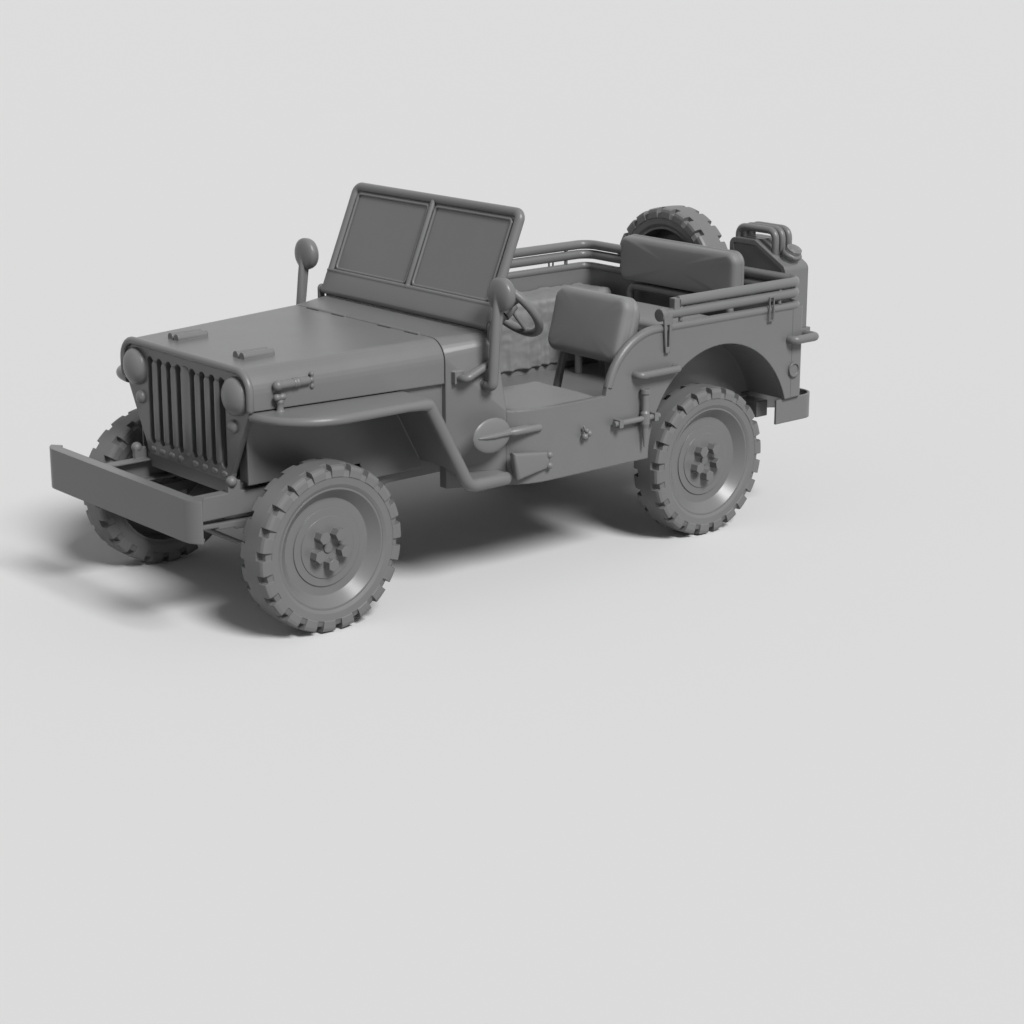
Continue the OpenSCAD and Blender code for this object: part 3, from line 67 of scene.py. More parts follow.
camera = bpy.data.objects.new("camera", bpy.data.cameras.new("camera"))
scene.collection.objects.link(camera)
camera.location = CAMERA_PLACE
camera.rotation_euler = CAMERA_WAY.to_track_quat("-Z", "Y").to_euler()
camera.data.sensor_width = SENSOR_WIDTH
camera.data.lens = LENS
camera.data.shift_y = SHIFT_UP
camera.data.clip_end = SIGHT_END
scene.camera = camera
scene.view_settings.view_transform = "Standard"


def node(tree, kind, **sets):
    """A new shader node with the given properties and input values."""
    made = tree.nodes.new(kind)
    for key, value in sets.items():
        if key in made.inputs:
            made.inputs[key].default_value = value
        else:
            setattr(made, key, value)
    return made


# The key light stands high on the car's left, and the sky and floor fill the rest
KEY_WAY = Vector((0.70, -0.06, 0.71))
KEY_STRENGTH = 3.0
KEY_SPREAD = math.radians(20)
SKY_SEEN, SKY_CAST = 0.72, 0.20
FLOOR_SEEN, FLOOR_CAST = 0.80, 0.27

sun = bpy.data.lights.new("key", "SUN")
sun.energy = KEY_STRENGTH
sun.angle = KEY_SPREAD
key = bpy.data.objects.new("key", sun)
key.rotation_euler = (-KEY_WAY).to_track_quat("-Z", "Y").to_euler()
scene.collection.objects.link(key)


def by_ray(tree, seen, cast):
    """A level with one value for the camera and reflections, and another for the light that bounces."""
    path = node(tree, "ShaderNodeLightPath")
    shown = path.outputs["Is Camera Ray"]
    for way in ("Is Glossy Ray", "Is Transmission Ray"):
        either = node(tree, "ShaderNodeMath", operation="MAXIMUM")
        tree.links.new(shown, either.inputs[0])
        tree.links.new(path.outputs[way], either.inputs[1])
        shown = either.outputs["Value"]
    level = node(tree, "ShaderNodeMapRange")
    level.inputs["To Min"].default_value = cast
    level.inputs["To Max"].default_value = seen
    tree.links.new(shown, level.inputs["Value"])
    return level.outputs["Result"]


world = bpy.data.worlds.new("studio")
scene.world = world
world.use_nodes = True
sky = world.node_tree.nodes["Background"]
sky.inputs["Color"].default_value = (1, 1, 1, 1)
world.node_tree.links.new(by_ray(world.node_tree, SKY_SEEN, SKY_CAST), sky.inputs["Strength"])

FLOOR_HALF, FLOOR_ROUGH = 60.0, 0.9
FLOOR_CORNERS = ((-1, -1), (1, -1), (1, 1), (-1, 1))
floor_mesh = bpy.data.meshes.new("floor")
floor_mesh.from_pydata([(x * FLOOR_HALF, y * FLOOR_HALF, 0) for x, y in FLOOR_CORNERS], [], [(0, 1, 2, 3)])
floor = bpy.data.objects.new("floor", floor_mesh)
scene.collection.objects.link(floor)
floor_paint = bpy.data.materials.new("floor")
floor_paint.use_nodes = True
floor_tree = floor_paint.node_tree
ground = floor_tree.nodes["Principled BSDF"]
ground.inputs["Roughness"].default_value = FLOOR_ROUGH
floor_tree.links.new(by_ray(floor_tree, FLOOR_SEEN, FLOOR_CAST), ground.inputs["Base Color"])
floor_mesh.materials.append(floor_paint)


# Finishes

BLUE_SHARE = 1.01
BROAD_SCALE, BROAD_DETAIL, FINE_DETAIL, NOISE_ROUGH = 5.0, 4.0, 3.0, 0.6
PATCH_DARK, PATCH_PALE = 0.93, 1.07
ROUGH_DOWN, ROUGH_UP = 0.05, 0.07
EDGE_SAMPLES = 4
EDGE_FLAT, EDGE_ROUND = 0.995, 0.90          # how the bevel leans where wear starts and where it is full
WORN_GAIN, WORN_MOST = 1.7, 0.8
RELIEF_DEPTH = 0.001
WEAVE_TURNS, WEAVE_WANDER, WEAVE_DETAIL, WEAVE_SHEEN = (45, -45), 0.6, 2.0, 0.15


def grey(level):
    """A grey with a trace of blue."""
    return (level, level, level * BLUE_SHARE, 1.0)


def finish(name, level, rough, grain, relief, soft, wear, weave=0.0):
    """A grey finish: broad patches, fine grain, worn and rounded edges, and a weave for cloth."""
    material = bpy.data.materials.new(name)
    material.use_nodes = True
    tree = material.node_tree
    tree.nodes.clear()
    link = tree.links.new
    out = node(tree, "ShaderNodeOutputMaterial")
    shader = node(tree, "ShaderNodeBsdfPrincipled")
    link(shader.outputs["BSDF"], out.inputs["Surface"])
    coords = node(tree, "ShaderNodeTexCoord")

    broad = node(tree, "ShaderNodeTexNoise", Scale=BROAD_SCALE, Detail=BROAD_DETAIL, Roughness=NOISE_ROUGH)
    fine = node(tree, "ShaderNodeTexNoise", Scale=grain, Detail=FINE_DETAIL, Roughness=NOISE_ROUGH)
    for texture in (broad, fine):
        link(coords.outputs["Object"], texture.inputs["Vector"])

    tone = node(tree, "ShaderNodeMix", data_type="RGBA")
    tone.inputs["A"].default_value = grey(level * PATCH_DARK)
    tone.inputs["B"].default_value = grey(level * PATCH_PALE)
    link(broad.outputs["Fac"], tone.inputs["Factor"])

    edge = node(tree, "ShaderNodeBevel", samples=EDGE_SAMPLES, Radius=soft)
    flat = node(tree, "ShaderNodeNewGeometry")
    lean = node(tree, "ShaderNodeVectorMath", operation="DOT_PRODUCT")
    link(edge.outputs["Normal"], lean.inputs[0])
    link(flat.outputs["Normal"], lean.inputs[1])
    worn = node(tree, "ShaderNodeMapRange")
    worn.inputs["From Min"].default_value = EDGE_FLAT
    worn.inputs["From Max"].default_value = EDGE_ROUND
    worn.inputs["To Min"].default_value = 0.0
    worn.inputs["To Max"].default_value = wear
    link(lean.outputs["Value"], worn.inputs["Value"])
    patchy = node(tree, "ShaderNodeMath", operation="MULTIPLY")
    link(worn.outputs["Result"], patchy.inputs[0])
    link(fine.outputs["Fac"], patchy.inputs[1])
    colour = node(tree, "ShaderNodeMix", data_type="RGBA")
    colour.inputs["B"].default_value = grey(min(level * WORN_GAIN, WORN_MOST))
    link(patchy.outputs["Value"], colour.inputs["Factor"])
    link(tone.outputs["Result"], colour.inputs["A"])
    link(colour.outputs["Result"], shader.inputs["Base Color"])

    gloss = node(tree, "ShaderNodeMapRange")
    gloss.inputs["To Min"].default_value = rough - ROUGH_DOWN
    gloss.inputs["To Max"].default_value = rough + ROUGH_UP
    link(broad.outputs["Fac"], gloss.inputs["Value"])
    link(gloss.outputs["Result"], shader.inputs["Roughness"])

    bump = node(tree, "ShaderNodeBump", Strength=relief, Distance=RELIEF_DEPTH)
    link(edge.outputs["Normal"], bump.inputs["Normal"])
    height = fine.outputs["Fac"]
    if weave:
        threads = []
        for turn in WEAVE_TURNS:
            spun = node(tree, "ShaderNodeMapping")
            spun.inputs["Rotation"].default_value = (0.0, 0.0, math.radians(turn))
            link(coords.outputs["Object"], spun.inputs["Vector"])
            wave = node(tree, "ShaderNodeTexWave", Scale=weave, Distortion=WEAVE_WANDER)
            wave.inputs["Detail Scale"].default_value = WEAVE_DETAIL
            link(spun.outputs["Vector"], wave.inputs["Vector"])
            threads.append(wave)
        cloth = node(tree, "ShaderNodeMath", operation="MAXIMUM")
        link(threads[0].outputs["Fac"], cloth.inputs[0])
        link(threads[1].outputs["Fac"], cloth.inputs[1])
        mixed = node(tree, "ShaderNodeMath", operation="ADD")
        link(cloth.outputs["Value"], mixed.inputs[0])
        link(fine.outputs["Fac"], mixed.inputs[1])
        height = mixed.outputs["Value"]
        shader.inputs["Sheen Weight"].default_value = WEAVE_SHEEN
    link(height, bump.inputs["Height"])
    link(bump.outputs["Normal"], shader.inputs["Normal"])
    return material


# Each with its level, roughness, grain, relief, edge radius and wear
FINISHES = {
    "paint": finish("body_paint", 0.190, 0.33, 260.0, 0.05, 0.008, 0.25),
    "chassis_paint": finish("chassis_paint", 0.195, 0.44, 180.0, 0.12, 0.007, 0.25),
    "cast_iron": finish("cast_iron", 0.17, 0.60, 120.0, 0.30, 0.004, 0.20),
    "lamp": finish("lamp_paint", 0.21, 0.34, 260.0, 0.04, 0.003, 0.20),
    "tool": finish("tool_paint", 0.20, 0.36, 220.0, 0.10, 0.003, 0.40),
    "pane": finish("pane", 0.195, 0.32, 200.0, 0.02, 0.002, 0.10),
    "steering_rim": finish("steering_rim", 0.19, 0.42, 240.0, 0.05, 0.003, 0.20),
    # The canvas level is set lighter than the paint as painted light: it brightens the seats and covers as a
    # stronger light on them would
    "canvas": finish("canvas", 0.23, 0.55, 300.0, 0.15, 0.003, 0.10, weave=160.0),
    "tyre": finish("tyre_rubber", 0.185, 0.45, 200.0, 0.12, 0.0035, 0.25),
    # The wheel paint is set a little darker than the body paint as painted shade on the wheels
    "wheel_paint": finish("wheel_paint", 0.185, 0.32, 260.0, 0.05, 0.003, 0.30),
}

for part in frame["record"]["subparts"]:
    solid = frame["nodes"][part["node"]]
    solid.data.materials.clear()
    solid.data.materials.append(FINISHES[part["material_slot"]])
    solid.data.polygons.foreach_set("material_index", [0] * len(solid.data.polygons))


# Building helpers

SIDES = ((1, "left"), (-1, "right"))
SQUARE = math.radians(90)
TINY = 1e-6
PAD_SPACING = 0.012
WHOLE = 1000.0                               # a spacing that leaves straight sides undivided


def quarter(steps):
    """Angles from 0 to 90 degrees, both among them."""
    return [math.radians(90 * i / steps) for i in range(steps + 1)]


def around(sides):
    """Angles of one full turn."""
    return [math.tau * i / sides for i in range(sides)]


def between(low, high, steps):
    """Even steps from low to high, both among them."""
    return [low + (high - low) * i / steps for i in range(steps + 1)]


def bands(size, count, first=0, closed=False):
    """Faces between rings of points that follow each other, and back to the first ring if closed."""
    cells = []
    for k in range(count if closed else count - 1):
        a, b = first + k * size, first + (k + 1) % count * size
        for i in range(size):
            j = (i + 1) % size
            cells.append((a + i, a + j, b + j, b + i))
    return cells


def caps(size, total):
    """The two faces that close a form at its first and last ring."""
    return [tuple(range(size)), tuple(range(total - size, total))]


def piece(name, mesh, slot, body):
    """A finished mesh becomes a piece of the car."""
    obj = bpy.data.objects.new(name, mesh)
    scene.collection.objects.link(obj)
    mesh.materials.append(FINISHES[slot])
    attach(obj, body)
    return obj


def outline(half_x, half_y, r, steps, spacing):
    """A rounded rectangle as a closed row of points, counter-clockwise."""
    points = []
    for cx, cy, start in ((1, 1, 0), (-1, 1, 90), (-1, -1, 180), (1, -1, 270)):
        for i in range(steps + 1):
            a = math.radians(start + 90 * i / steps)
            points.append(Vector((cx * (half_x - r) + r * math.cos(a), cy * (half_y - r) + r * math.sin(a))))
    filled = []
    for i, p in enumerate(points):
        q = points[(i + 1) % len(points)]
        parts = max(1, round((q - p).length / spacing))
        filled += [p.lerp(q, k / parts) for k in range(parts)]
    return filled


# Sewn seats: a thick front pad and a thinner back pad, drawn together along one seam

SEAM_SHARE = 0.34                            # the seam's share of the depth, from the back
SEAM_SINK, SEAM_CLEAR = 0.007, 0.014
SEAM_FOLD = ((0.0, 0.010), (0.0015, 0.006), (0.0042, 0.002))       # inset, distance from the seam
BACK_ROUND, FACE_ROUND = 0.42, 0.26
BACK_RINGS = (0.12, 0.3, 0.5, 0.7, 0.86, 0.95)
FACE_RINGS = (0.95, 0.86, 0.74, 0.6, 0.45, 0.3, 0.15)
BACK_INSET, CROWN, CORNER_STEPS = 0.004, 0.004, 12
PAD_SLACK = 4.0
CLOTH_PRESSURE, CLOTH_TENSION, CLOTH_BENDING = 4.0, 25.0, 4.0
CLOTH_FRAMES, CLOTH_CAP, SMOOTH_ROUNDS = 20, 0.006, 14


def pad_profile(depth, seam):
    """Rows of inset and height, from the rim of the back to the rim of the face."""
    back, face = seam * BACK_ROUND, depth * FACE_ROUND
    rows = [(back * (1 - math.sin(a)), back * (1 - math.cos(a))) for a in quarter(6)]
    rows += [(inset, seam - away) for inset, away in SEAM_FOLD]
    rows.append((SEAM_SINK, seam))
    rows += [(inset, seam + away) for inset, away in reversed(SEAM_FOLD)]
    rows += [(0.0, z) for z in between(seam + SEAM_CLEAR, depth - face, 3)]
    rows += [(face * (1 - math.cos(a)), depth - face * (1 - math.sin(a))) for a in quarter(8)[1:]]
    return rows


def cushion(name, stands_for, half_x, half_y, depth, r, place):
    """A sewn pad, its size in millimetres, with its face towards local +Z."""
    half_x, half_y, depth, r = (half_x - PAD_SLACK) * MM, (half_y - PAD_SLACK) * MM, depth * MM, r * MM
    seam = depth * SEAM_SHARE
    profile = pad_profile(depth, seam)
    rim = outline(half_x, half_y, r, CORNER_STEPS, PAD_SPACING)
    verts, count, seam_start = [], len(rim), 0

    def ring(points, z):
        verts.extend(Vector((p.x, p.y, z)) for p in points)

    back_share = 1 - (profile[0][0] + BACK_INSET) / min(half_x, half_y)
    for s in BACK_RINGS:
        ring([p * s * back_share for p in rim], 0.0)
    for inset, z in profile:
        if z == seam:
            seam_start = len(verts)
        moved = []
        for p in rim:
            core = Vector((max(-half_x + r, min(half_x - r, p.x)), max(-half_y + r, min(half_y - r, p.y))))
            moved.append(core + (p - core) * ((r - inset) / r))
        ring(moved, z)
    face_rim = verts[-count:]
    for s in FACE_RINGS:
        ring([p * s for p in face_rim], depth)
        for v in verts[-count:]:
            v.z += CROWN * (1 - (v.x / half_x) ** 2) * (1 - (v.y / half_y) ** 2)

    faces = bands(count, len(verts) // count)
    last, back, front = len(verts) - count, len(verts), len(verts) + 1
    verts += [Vector((0, 0, 0)), Vector((0, 0, depth + CROWN))]
    for i in range(count):
        k = (i + 1) % count
        faces += [(back, k, i), (front, last + i, last + k)]
    mesh = bpy.data.meshes.new(name)
    mesh.from_pydata([place @ v for v in verts], [], faces)
    mesh.shade_smooth()
    pad = piece(name, mesh, "canvas", "chassis")
    held = pad.vertex_groups.new(name="held")
    flat = [i for i, v in enumerate(verts) if v.z < TINY]
    held.add(flat + list(range(seam_start, seam_start + count)), 1.0, "REPLACE")
    swell(pad)
    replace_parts(pad, stands_for)


def swell(pad):
    """Puffs the pad up with cloth under pressure, held along its seam and where it rests."""
    rest = [v.co.copy() for v in pad.data.vertices]
    cloth = pad.modifiers.new("cloth", "CLOTH")
    cloth.settings.vertex_group_mass = "held"
    cloth.settings.use_pressure = True
    cloth.settings.uniform_pressure_force = CLOTH_PRESSURE
    cloth.settings.effector_weights.gravity = 0.0
    cloth.settings.tension_stiffness = CLOTH_TENSION
    cloth.settings.bending_stiffness = CLOTH_BENDING
    cloth.collision_settings.use_collision = False
    cloth.point_cache.frame_start, cloth.point_cache.frame_end = 1, CLOTH_FRAMES
    for step in range(1, CLOTH_FRAMES + 1):
        scene.frame_set(step)
    grown = pad.evaluated_get(bpy.context.evaluated_depsgraph_get()).data
    changes = []
    for v, start in zip(grown.vertices, rest):
        change = v.co - start
        if change.length > CLOTH_CAP:
            change = change.normalized() * CLOTH_CAP
        changes.append(change)
    pad.modifiers.remove(cloth)

    # The covers are tight, so the puckers are evened out
    near = [[] for _ in rest]
    for line in pad.data.edges:
        a, b = line.vertices
        near[a].append(b)
        near[b].append(a)
    pinned = {v.index for v in pad.data.vertices if v.groups}
    for _ in range(SMOOTH_ROUNDS):
        changes = [c if i in pinned else sum((changes[k] for k in near[i]), c) / (len(near[i]) + 1)
                   for i, c in enumerate(changes)]
    for v, start, change in zip(pad.data.vertices, rest, changes):
        v.co = start + change
    pad.data.update()
    scene.frame_set(1)


SEAT_X, SEAT_HALF, SEAT_LEAN = 445.0, 233.0, math.radians(14.5)
SEAT_BASE_Y, SEAT_BASE_Z, SEAT_BASE_HALF, SEAT_BASE_DEPTH = 1180.0, 628.0, 234.0, 84.0
SEAT_BACK_Y, SEAT_BACK_Z, SEAT_BACK_HALF, SEAT_BACK_DEPTH = 1480.0, 835.0, 146.0, 74.0
SEAT_BACK_R, SEAT_BACK_BEHIND = 60.0, 40.0
BENCH_HALF, BASE_R = 388.0, 45.0
BENCH_BASE_Y, BENCH_BASE_Z, BENCH_BASE_HALF, BENCH_BASE_DEPTH = 2265.0, 795.0, 175.0, 80.0
BENCH_BACK_Y, BENCH_BACK_Z, BENCH_BACK_HALF, BENCH_BACK_DEPTH = 2516.0, 1064.0, 114.0, 66.0
BENCH_BACK_R = 55.0

for side, word in SIDES:
    cushion(f"seat_base_{word}", "seat_cushions", SEAT_HALF, SEAT_BASE_HALF, SEAT_BASE_DEPTH, BASE_R,
            Matrix.Translation(at(side * SEAT_X, SEAT_BASE_Y, SEAT_BASE_Z)))
    up, back = math.cos(SEAT_LEAN), math.sin(SEAT_LEAN)
    centre = at(side * SEAT_X, SEAT_BACK_Y + SEAT_BACK_HALF * back + SEAT_BACK_BEHIND * up,
                SEAT_BACK_Z + SEAT_BACK_HALF * up - SEAT_BACK_BEHIND * back)
    cushion(f"seat_back_{word}", "seat_cushions", SEAT_HALF, SEAT_BACK_HALF, SEAT_BACK_DEPTH, SEAT_BACK_R,
            Matrix.Translation(centre) @ Matrix.Rotation(SQUARE - SEAT_LEAN, 4, "X"))
cushion("bench_base", "bench_cushions", BENCH_HALF, BENCH_BASE_HALF, BENCH_BASE_DEPTH, BASE_R,
        Matrix.Translation(at(0.0, BENCH_BASE_Y, BENCH_BASE_Z)))
cushion("bench_back", "bench_cushions", BENCH_HALF, BENCH_BACK_HALF, BENCH_BACK_DEPTH, BENCH_BACK_R,
        Matrix.Translation(at(0.0, BENCH_BACK_Y, BENCH_BACK_Z)) @ Matrix.Rotation(SQUARE, 4, "X"))

# Trim. It is built in millimetres behind the front axle, and trim() turns it into a piece.

CAR = Matrix.Translation(at(0, 0, 0)) @ Matrix.Scale(MM, 4)
SCREEN_FOOT, SCREEN_LEAN = (0, 857, 1068), math.radians(-22.8)
RAKED = CAR @ Matrix.Translation(SCREEN_FOOT) @ Matrix.Rotation(SCREEN_LEAN, 4, "X")
# Plates seen from above, from the side and from the front
LEVEL = Matrix.Identity(4)
SIDEWAYS = Matrix(((0, 0, 1, 0), (1, 0, 0, 0), (0, 1, 0, 0), (0, 0, 0, 1)))
FORWARD = Matrix(((1, 0, 0, 0), (0, 0, -1, 0), (0, 1, 0, 0), (0, 0, 0, 1)))
DOME = (math.radians(60), math.radians(30))
CREASE, NO_CREASE = 38.0, 180.0


def tube(points, radii, sides=16):
    """A round bar along a row of points, with domed ends."""
    points = [Vector(p) for p in points]
    radii = radii if isinstance(radii, list) else [radii] * len(points)
    last = len(points) - 1
    ways = [(points[min(i + 1, last)] - points[max(i - 1, 0)]).normalized() for i in range(last + 1)]
    rows = [(points[0] - ways[0] * radii[0] * math.sin(a), ways[0], radii[0] * math.cos(a)) for a in DOME]
    rows += zip(points, ways, radii)
    rows += [(points[-1] + ways[-1] * radii[-1] * math.sin(a), ways[-1], radii[-1] * math.cos(a))
             for a in reversed(DOME)]
    side = ways[0].orthogonal().normalized()
    spots = [points[0] - ways[0] * radii[0]]
    for centre, way, r in rows:
        side = (side - way * side.dot(way)).normalized()
        across = way.cross(side)
        spots += [centre + (side * math.cos(a) + across * math.sin(a)) * r for a in around(sides)]
    end = len(spots)
    spots.append(points[-1] + ways[-1] * radii[-1])
    cells = [(0, 1 + (i + 1) % sides, 1 + i) for i in range(sides)]
    cells += bands(sides, len(rows), first=1)
    cells += [(end, end - sides + i, end - sides + (i + 1) % sides) for i in range(sides)]
    return spots, cells


def hoop(points, r, normal, sides=12):
    """A round bar along a closed, flat row of points."""
    spots, count = [], len(points)
    for i, p in enumerate(points):
        across = (points[(i + 1) % count] - points[i - 1]).normalized().cross(normal)
        spots += [p + (normal * math.cos(a) + across * math.sin(a)) * r for a in around(sides)]
    return spots, bands(sides, count, closed=True)


def bent(corners, reach, steps=6):
    """A row of points with each inner corner rounded off."""
    row = [corners[0]]
    for a, b, c in zip(corners, corners[1:], corners[2:]):
        start, end = b + (a - b).normalized() * reach, b + (c - b).normalized() * reach
        row += [start.lerp(b, i / steps).lerp(b.lerp(end, i / steps), i / steps) for i in range(steps + 1)]
    return row + [corners[-1]]


def lathe(rows, place, sides=32):
    """A turned form about local Z, from rows of radius and height. A row of no radius closes it."""
    spots, cells, rings = [], [], []
    for r, h in rows:
        start = len(spots)
        turns = around(sides) if r > TINY else [0.0]
        spots += [place @ Vector((r * math.cos(a), r * math.sin(a), h)) for a in turns]
        rings.append(range(start, len(spots)))
    for a, b in zip(rings, rings[1:]):
        for i in range(sides):
            k = (i + 1) % sides
            cell = [a[i % len(a)], a[k % len(a)], b[k % len(b)], b[i % len(b)]]
            cells.append(tuple(dict.fromkeys(cell)))
    return spots, cells


def ball(centre, *half):
    """A ball of one radius, or an egg of three half sizes."""
    half = half if len(half) == 3 else half * 3
    place = Matrix.Translation(centre) @ Matrix.Diagonal((*half, 1.0))
    return lathe([(math.sin(a), -math.cos(a)) for a in between(0.0, math.pi, 12)], place, 20)


def drawn_in(row, d):
    """A closed outline, counter-clockwise, drawn in by d."""
    moved = []
    for i, p in enumerate(row):
        a, b = (p - row[i - 1]).normalized(), (row[(i + 1) % len(row)] - p).normalized()
        n, m = Vector((-a.y, a.x)), Vector((-b.y, b.x))
        moved.append(p + (n + m) * (d / (1 + n.dot(m))))
    return moved


def plate(row, low, high, place, soft=0.0, steps=4):
    """A plate of a closed outline between two heights, with its edges rounded where soft isn't zero."""
    rings = [(0.0, low), (0.0, high)]
    if soft:
        rings = [(soft * (1 - math.sin(a)), low + soft * (1 - math.cos(a))) for a in quarter(steps)]
        rings += [(soft * (1 - math.cos(a)), high - soft * (1 - math.sin(a))) for a in quarter(steps)]
    spots = []
    for inset, height in rings:
        spots += [place @ Vector((p.x, p.y, height)) for p in drawn_in(row, inset)]
    return spots, bands(len(row), len(rings)) + caps(len(row), len(spots))


def squeezed(part, axis, level, share):
    """A part flattened along one axis, towards a level."""
    spots, cells = part
    for p in spots:
        p[axis] = level + (p[axis] - level) * share
    return spots, cells


def trim(name, parts, slot, body, place=CAR, crease=CREASE):
    """One piece from several parts, smooth but for its creases."""
    verts, faces = [], []
    for spots, cells in parts:
        faces += [tuple(len(verts) + i for i in cell) for cell in cells]
        verts += [place @ p for p in spots]
    mesh = bpy.data.meshes.new(name)
    mesh.from_pydata(verts, [], faces)
    form = bmesh.new()
    form.from_mesh(mesh)
    bmesh.ops.recalc_face_normals(form, faces=form.faces)
    form.to_mesh(mesh)
    form.free()
    mesh.shade_smooth()
    mesh.set_sharp_from_angle(angle=math.radians(crease))
    return piece(name, mesh, slot, body)


# Front fenders: the pressed skin with its rolled edge, the apron under it and the catch post

FENDER_TOP, FENDER_WALL, FENDER_ROLL, FENDER_SWEEP, STEP_CORNER = 856.0, 8.0, 18.0, 270.0, 28.0
FENDER_FRONT, FENDER_OUT, FENDER_END = -221.0, 716.0, 860.0
SLOPE_TOP_Y, SLOPE_FOOT_Y, STEP_TOP, PATH_BEND = 464.0, 660.0, 497.0, 24.0
SLOPE_ROLL, ROLL_FROM, ROLL_OVER, ROLL_TUCK = 27.0, 360.0, 120.0, 0.95     # the roll grows towards the slope
ROLL_TURNS = [math.radians(22.5 * i) for i in range(11)]
GRILLE_BACK, GRILLE_SIDE = -189.6, 444.0
COWL_FRONT, COWL_SIDE, COWL_FLARE = 645.0, 546.0, 112.0
APRON_IN, APRON_OUT, APRON_LOW, APRON_REAR_LOW = 377.0, 385.0, 556.0, 484.0
APRON_STEP, APRON_BEND = (335.0, 362.0), 460.0
SKIN_LAP, COWL_GAP = 5.0, 2.0
GUSSET_IN, GUSSET_OUT, GUSSET_TOP, GUSSET_AHEAD, GUSSET_WALL = 300.0, 382.0, 852.0, 165.6, 8.0
PATH_START, PATH_END = -300.0, 950.0
FENDER_PATH = bent([Vector((PATH_START, FENDER_TOP)), Vector((SLOPE_TOP_Y, FENDER_TOP)),
                    Vector((SLOPE_FOOT_Y, STEP_TOP)), Vector((PATH_END, STEP_TOP))], PATH_BEND, 8)
# Sections along the straight outer edge, close together where the path bends
SECTIONS = sorted([100, 160, 220, 280, 340, 390, *range(408, 521, 8), 545, 580, 604, *range(612, 717, 8),
                   COWL_FRONT - 0.3, COWL_FRONT + 0.3, 750, 790, 835])
SWEEP_STEPS, SWEEP_NUDGE, SLOPE_REACH = 26, 0.002, 6.0


def on_path(y):
    """The fender's height at a place along the car."""
    for a, b in zip(FENDER_PATH, FENDER_PATH[1:]):
        if y <= b.x:
            return a.y + (b.y - a.y) * (y - a.x) / (b.x - a.x)
    return FENDER_PATH[-1].y


def fender_inner(y):
    """The skin's inner edge: beside the grille, over the apron, then along the cowl."""
    if y < GRILLE_BACK:
        return GRILLE_SIDE
    if y < COWL_FRONT:
        return APRON_IN
    return COWL_SIDE + COWL_FLARE * (y - COWL_FRONT) / (FENDER_END - COWL_FRONT)


def fender_edge():
    """The outer edge from the front to the step's end, as places and the ways they face."""
    step = math.asin((GRILLE_BACK - FENDER_FRONT - FENDER_SWEEP) / (FENDER_SWEEP - FENDER_ROLL))
    turns = [math.radians(-90 + 90 * i / SWEEP_STEPS) for i in range(SWEEP_STEPS + 1)]
    turns = sorted(turns + [step - SWEEP_NUDGE, step + SWEEP_NUDGE])
    edge = [(FENDER_OUT - FENDER_SWEEP * (1 - math.cos(a)), FENDER_FRONT + FENDER_SWEEP * (1 + math.sin(a)),
             math.cos(a), math.sin(a)) for a in turns]
    edge += [(FENDER_OUT, y, 1.0, 0.0) for y in SECTIONS]
    edge += [(FENDER_OUT - STEP_CORNER * (1 - math.cos(a)), FENDER_END - STEP_CORNER * (1 - math.sin(a)),
              math.cos(a), math.sin(a)) for a in quarter(6)[1:]]
    return edge


def fender_skin(side):
    """The skin as one closed form, from a row of sections along its outer edge."""
    edge = fender_edge()
    spots = []
    for x, y, way_x, way_y in edge:
        grown = min(1.0, max(0.0, (y - ROLL_FROM) / ROLL_OVER))
        roll = FENDER_ROLL + (SLOPE_ROLL - FENDER_ROLL) * grown
        px, py = x - way_x * roll, y - way_y * roll
        rise = on_path(py + SLOPE_REACH) - on_path(py - SLOPE_REACH)
        along = Vector((0, 2 * SLOPE_REACH, rise)).normalized()
        up = Vector((0, -along.z, along.y))
        out = Vector((way_x, 0, 0)) + along * way_y
        top = Vector((px, py, on_path(py)))
        inner = Vector((fender_inner(py), py, on_path(py)))
        spots += [top - up * roll + (up * math.cos(a) + out * math.sin(a)) * roll for a in ROLL_TURNS]
        spots += [top - up * FENDER_WALL - out * roll * ROLL_TUCK, inner - up * FENDER_WALL, inner]
    size = len(spots) // len(edge)
    cells = bands(size, len(edge)) + caps(size, len(spots))
    return [Vector((p.x * side, p.y, p.z)) for p in spots], cells


CATCH_POST_X, CATCH_Y, POST_TOP, POST_EYE, POST_EYE_R, POST_PIN_R = 496.0, -110.0, 910.0, 13.0, 14.0, 11.0
POST_ROWS = [(0, 852), (17, 852), (17, 858), (13, 864), (12, 884), (15, 892), (12, 900), (0, 904)]
apron = [Vector((GRILLE_BACK, APRON_LOW)), Vector((APRON_STEP[0], APRON_LOW)),
         Vector((APRON_STEP[1], APRON_REAR_LOW)), Vector((COWL_FRONT - COWL_GAP, APRON_REAR_LOW))]
apron += [Vector((y, on_path(y) - SKIN_LAP)) for y in between(COWL_FRONT - COWL_GAP, APRON_BEND, 8)]
apron.append(Vector((GRILLE_BACK, FENDER_TOP - SKIN_LAP)))
for side, word in SIDES:
    gusset = [Vector((side * x, z)) for x, z in ((GUSSET_IN, APRON_LOW), (GUSSET_OUT, APRON_LOW),
                                                 (GUSSET_OUT, GUSSET_TOP), (GUSSET_IN, GUSSET_TOP))]
    eyes = [Vector((side * CATCH_POST_X, CATCH_Y + way * POST_EYE, POST_TOP)) for way in (-1, 1)]
    skins = [fender_skin(side),
             plate(apron, side * APRON_IN, side * APRON_OUT, SIDEWAYS),
             plate(gusset, GUSSET_AHEAD, GUSSET_AHEAD + GUSSET_WALL, FORWARD),
             lathe(POST_ROWS, Matrix.Translation((side * CATCH_POST_X, CATCH_Y, 0)))]
    skins += [ball(eye, POST_EYE_R) for eye in eyes]
    skins.append(tube(eyes, POST_PIN_R))
    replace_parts(trim(f"fender_skin_{word}", skins, "paint", "chassis"), f"fender_{word}")

# Cowl cheeks: the plates that close the bay between the hood's lower edge and the fender's slope

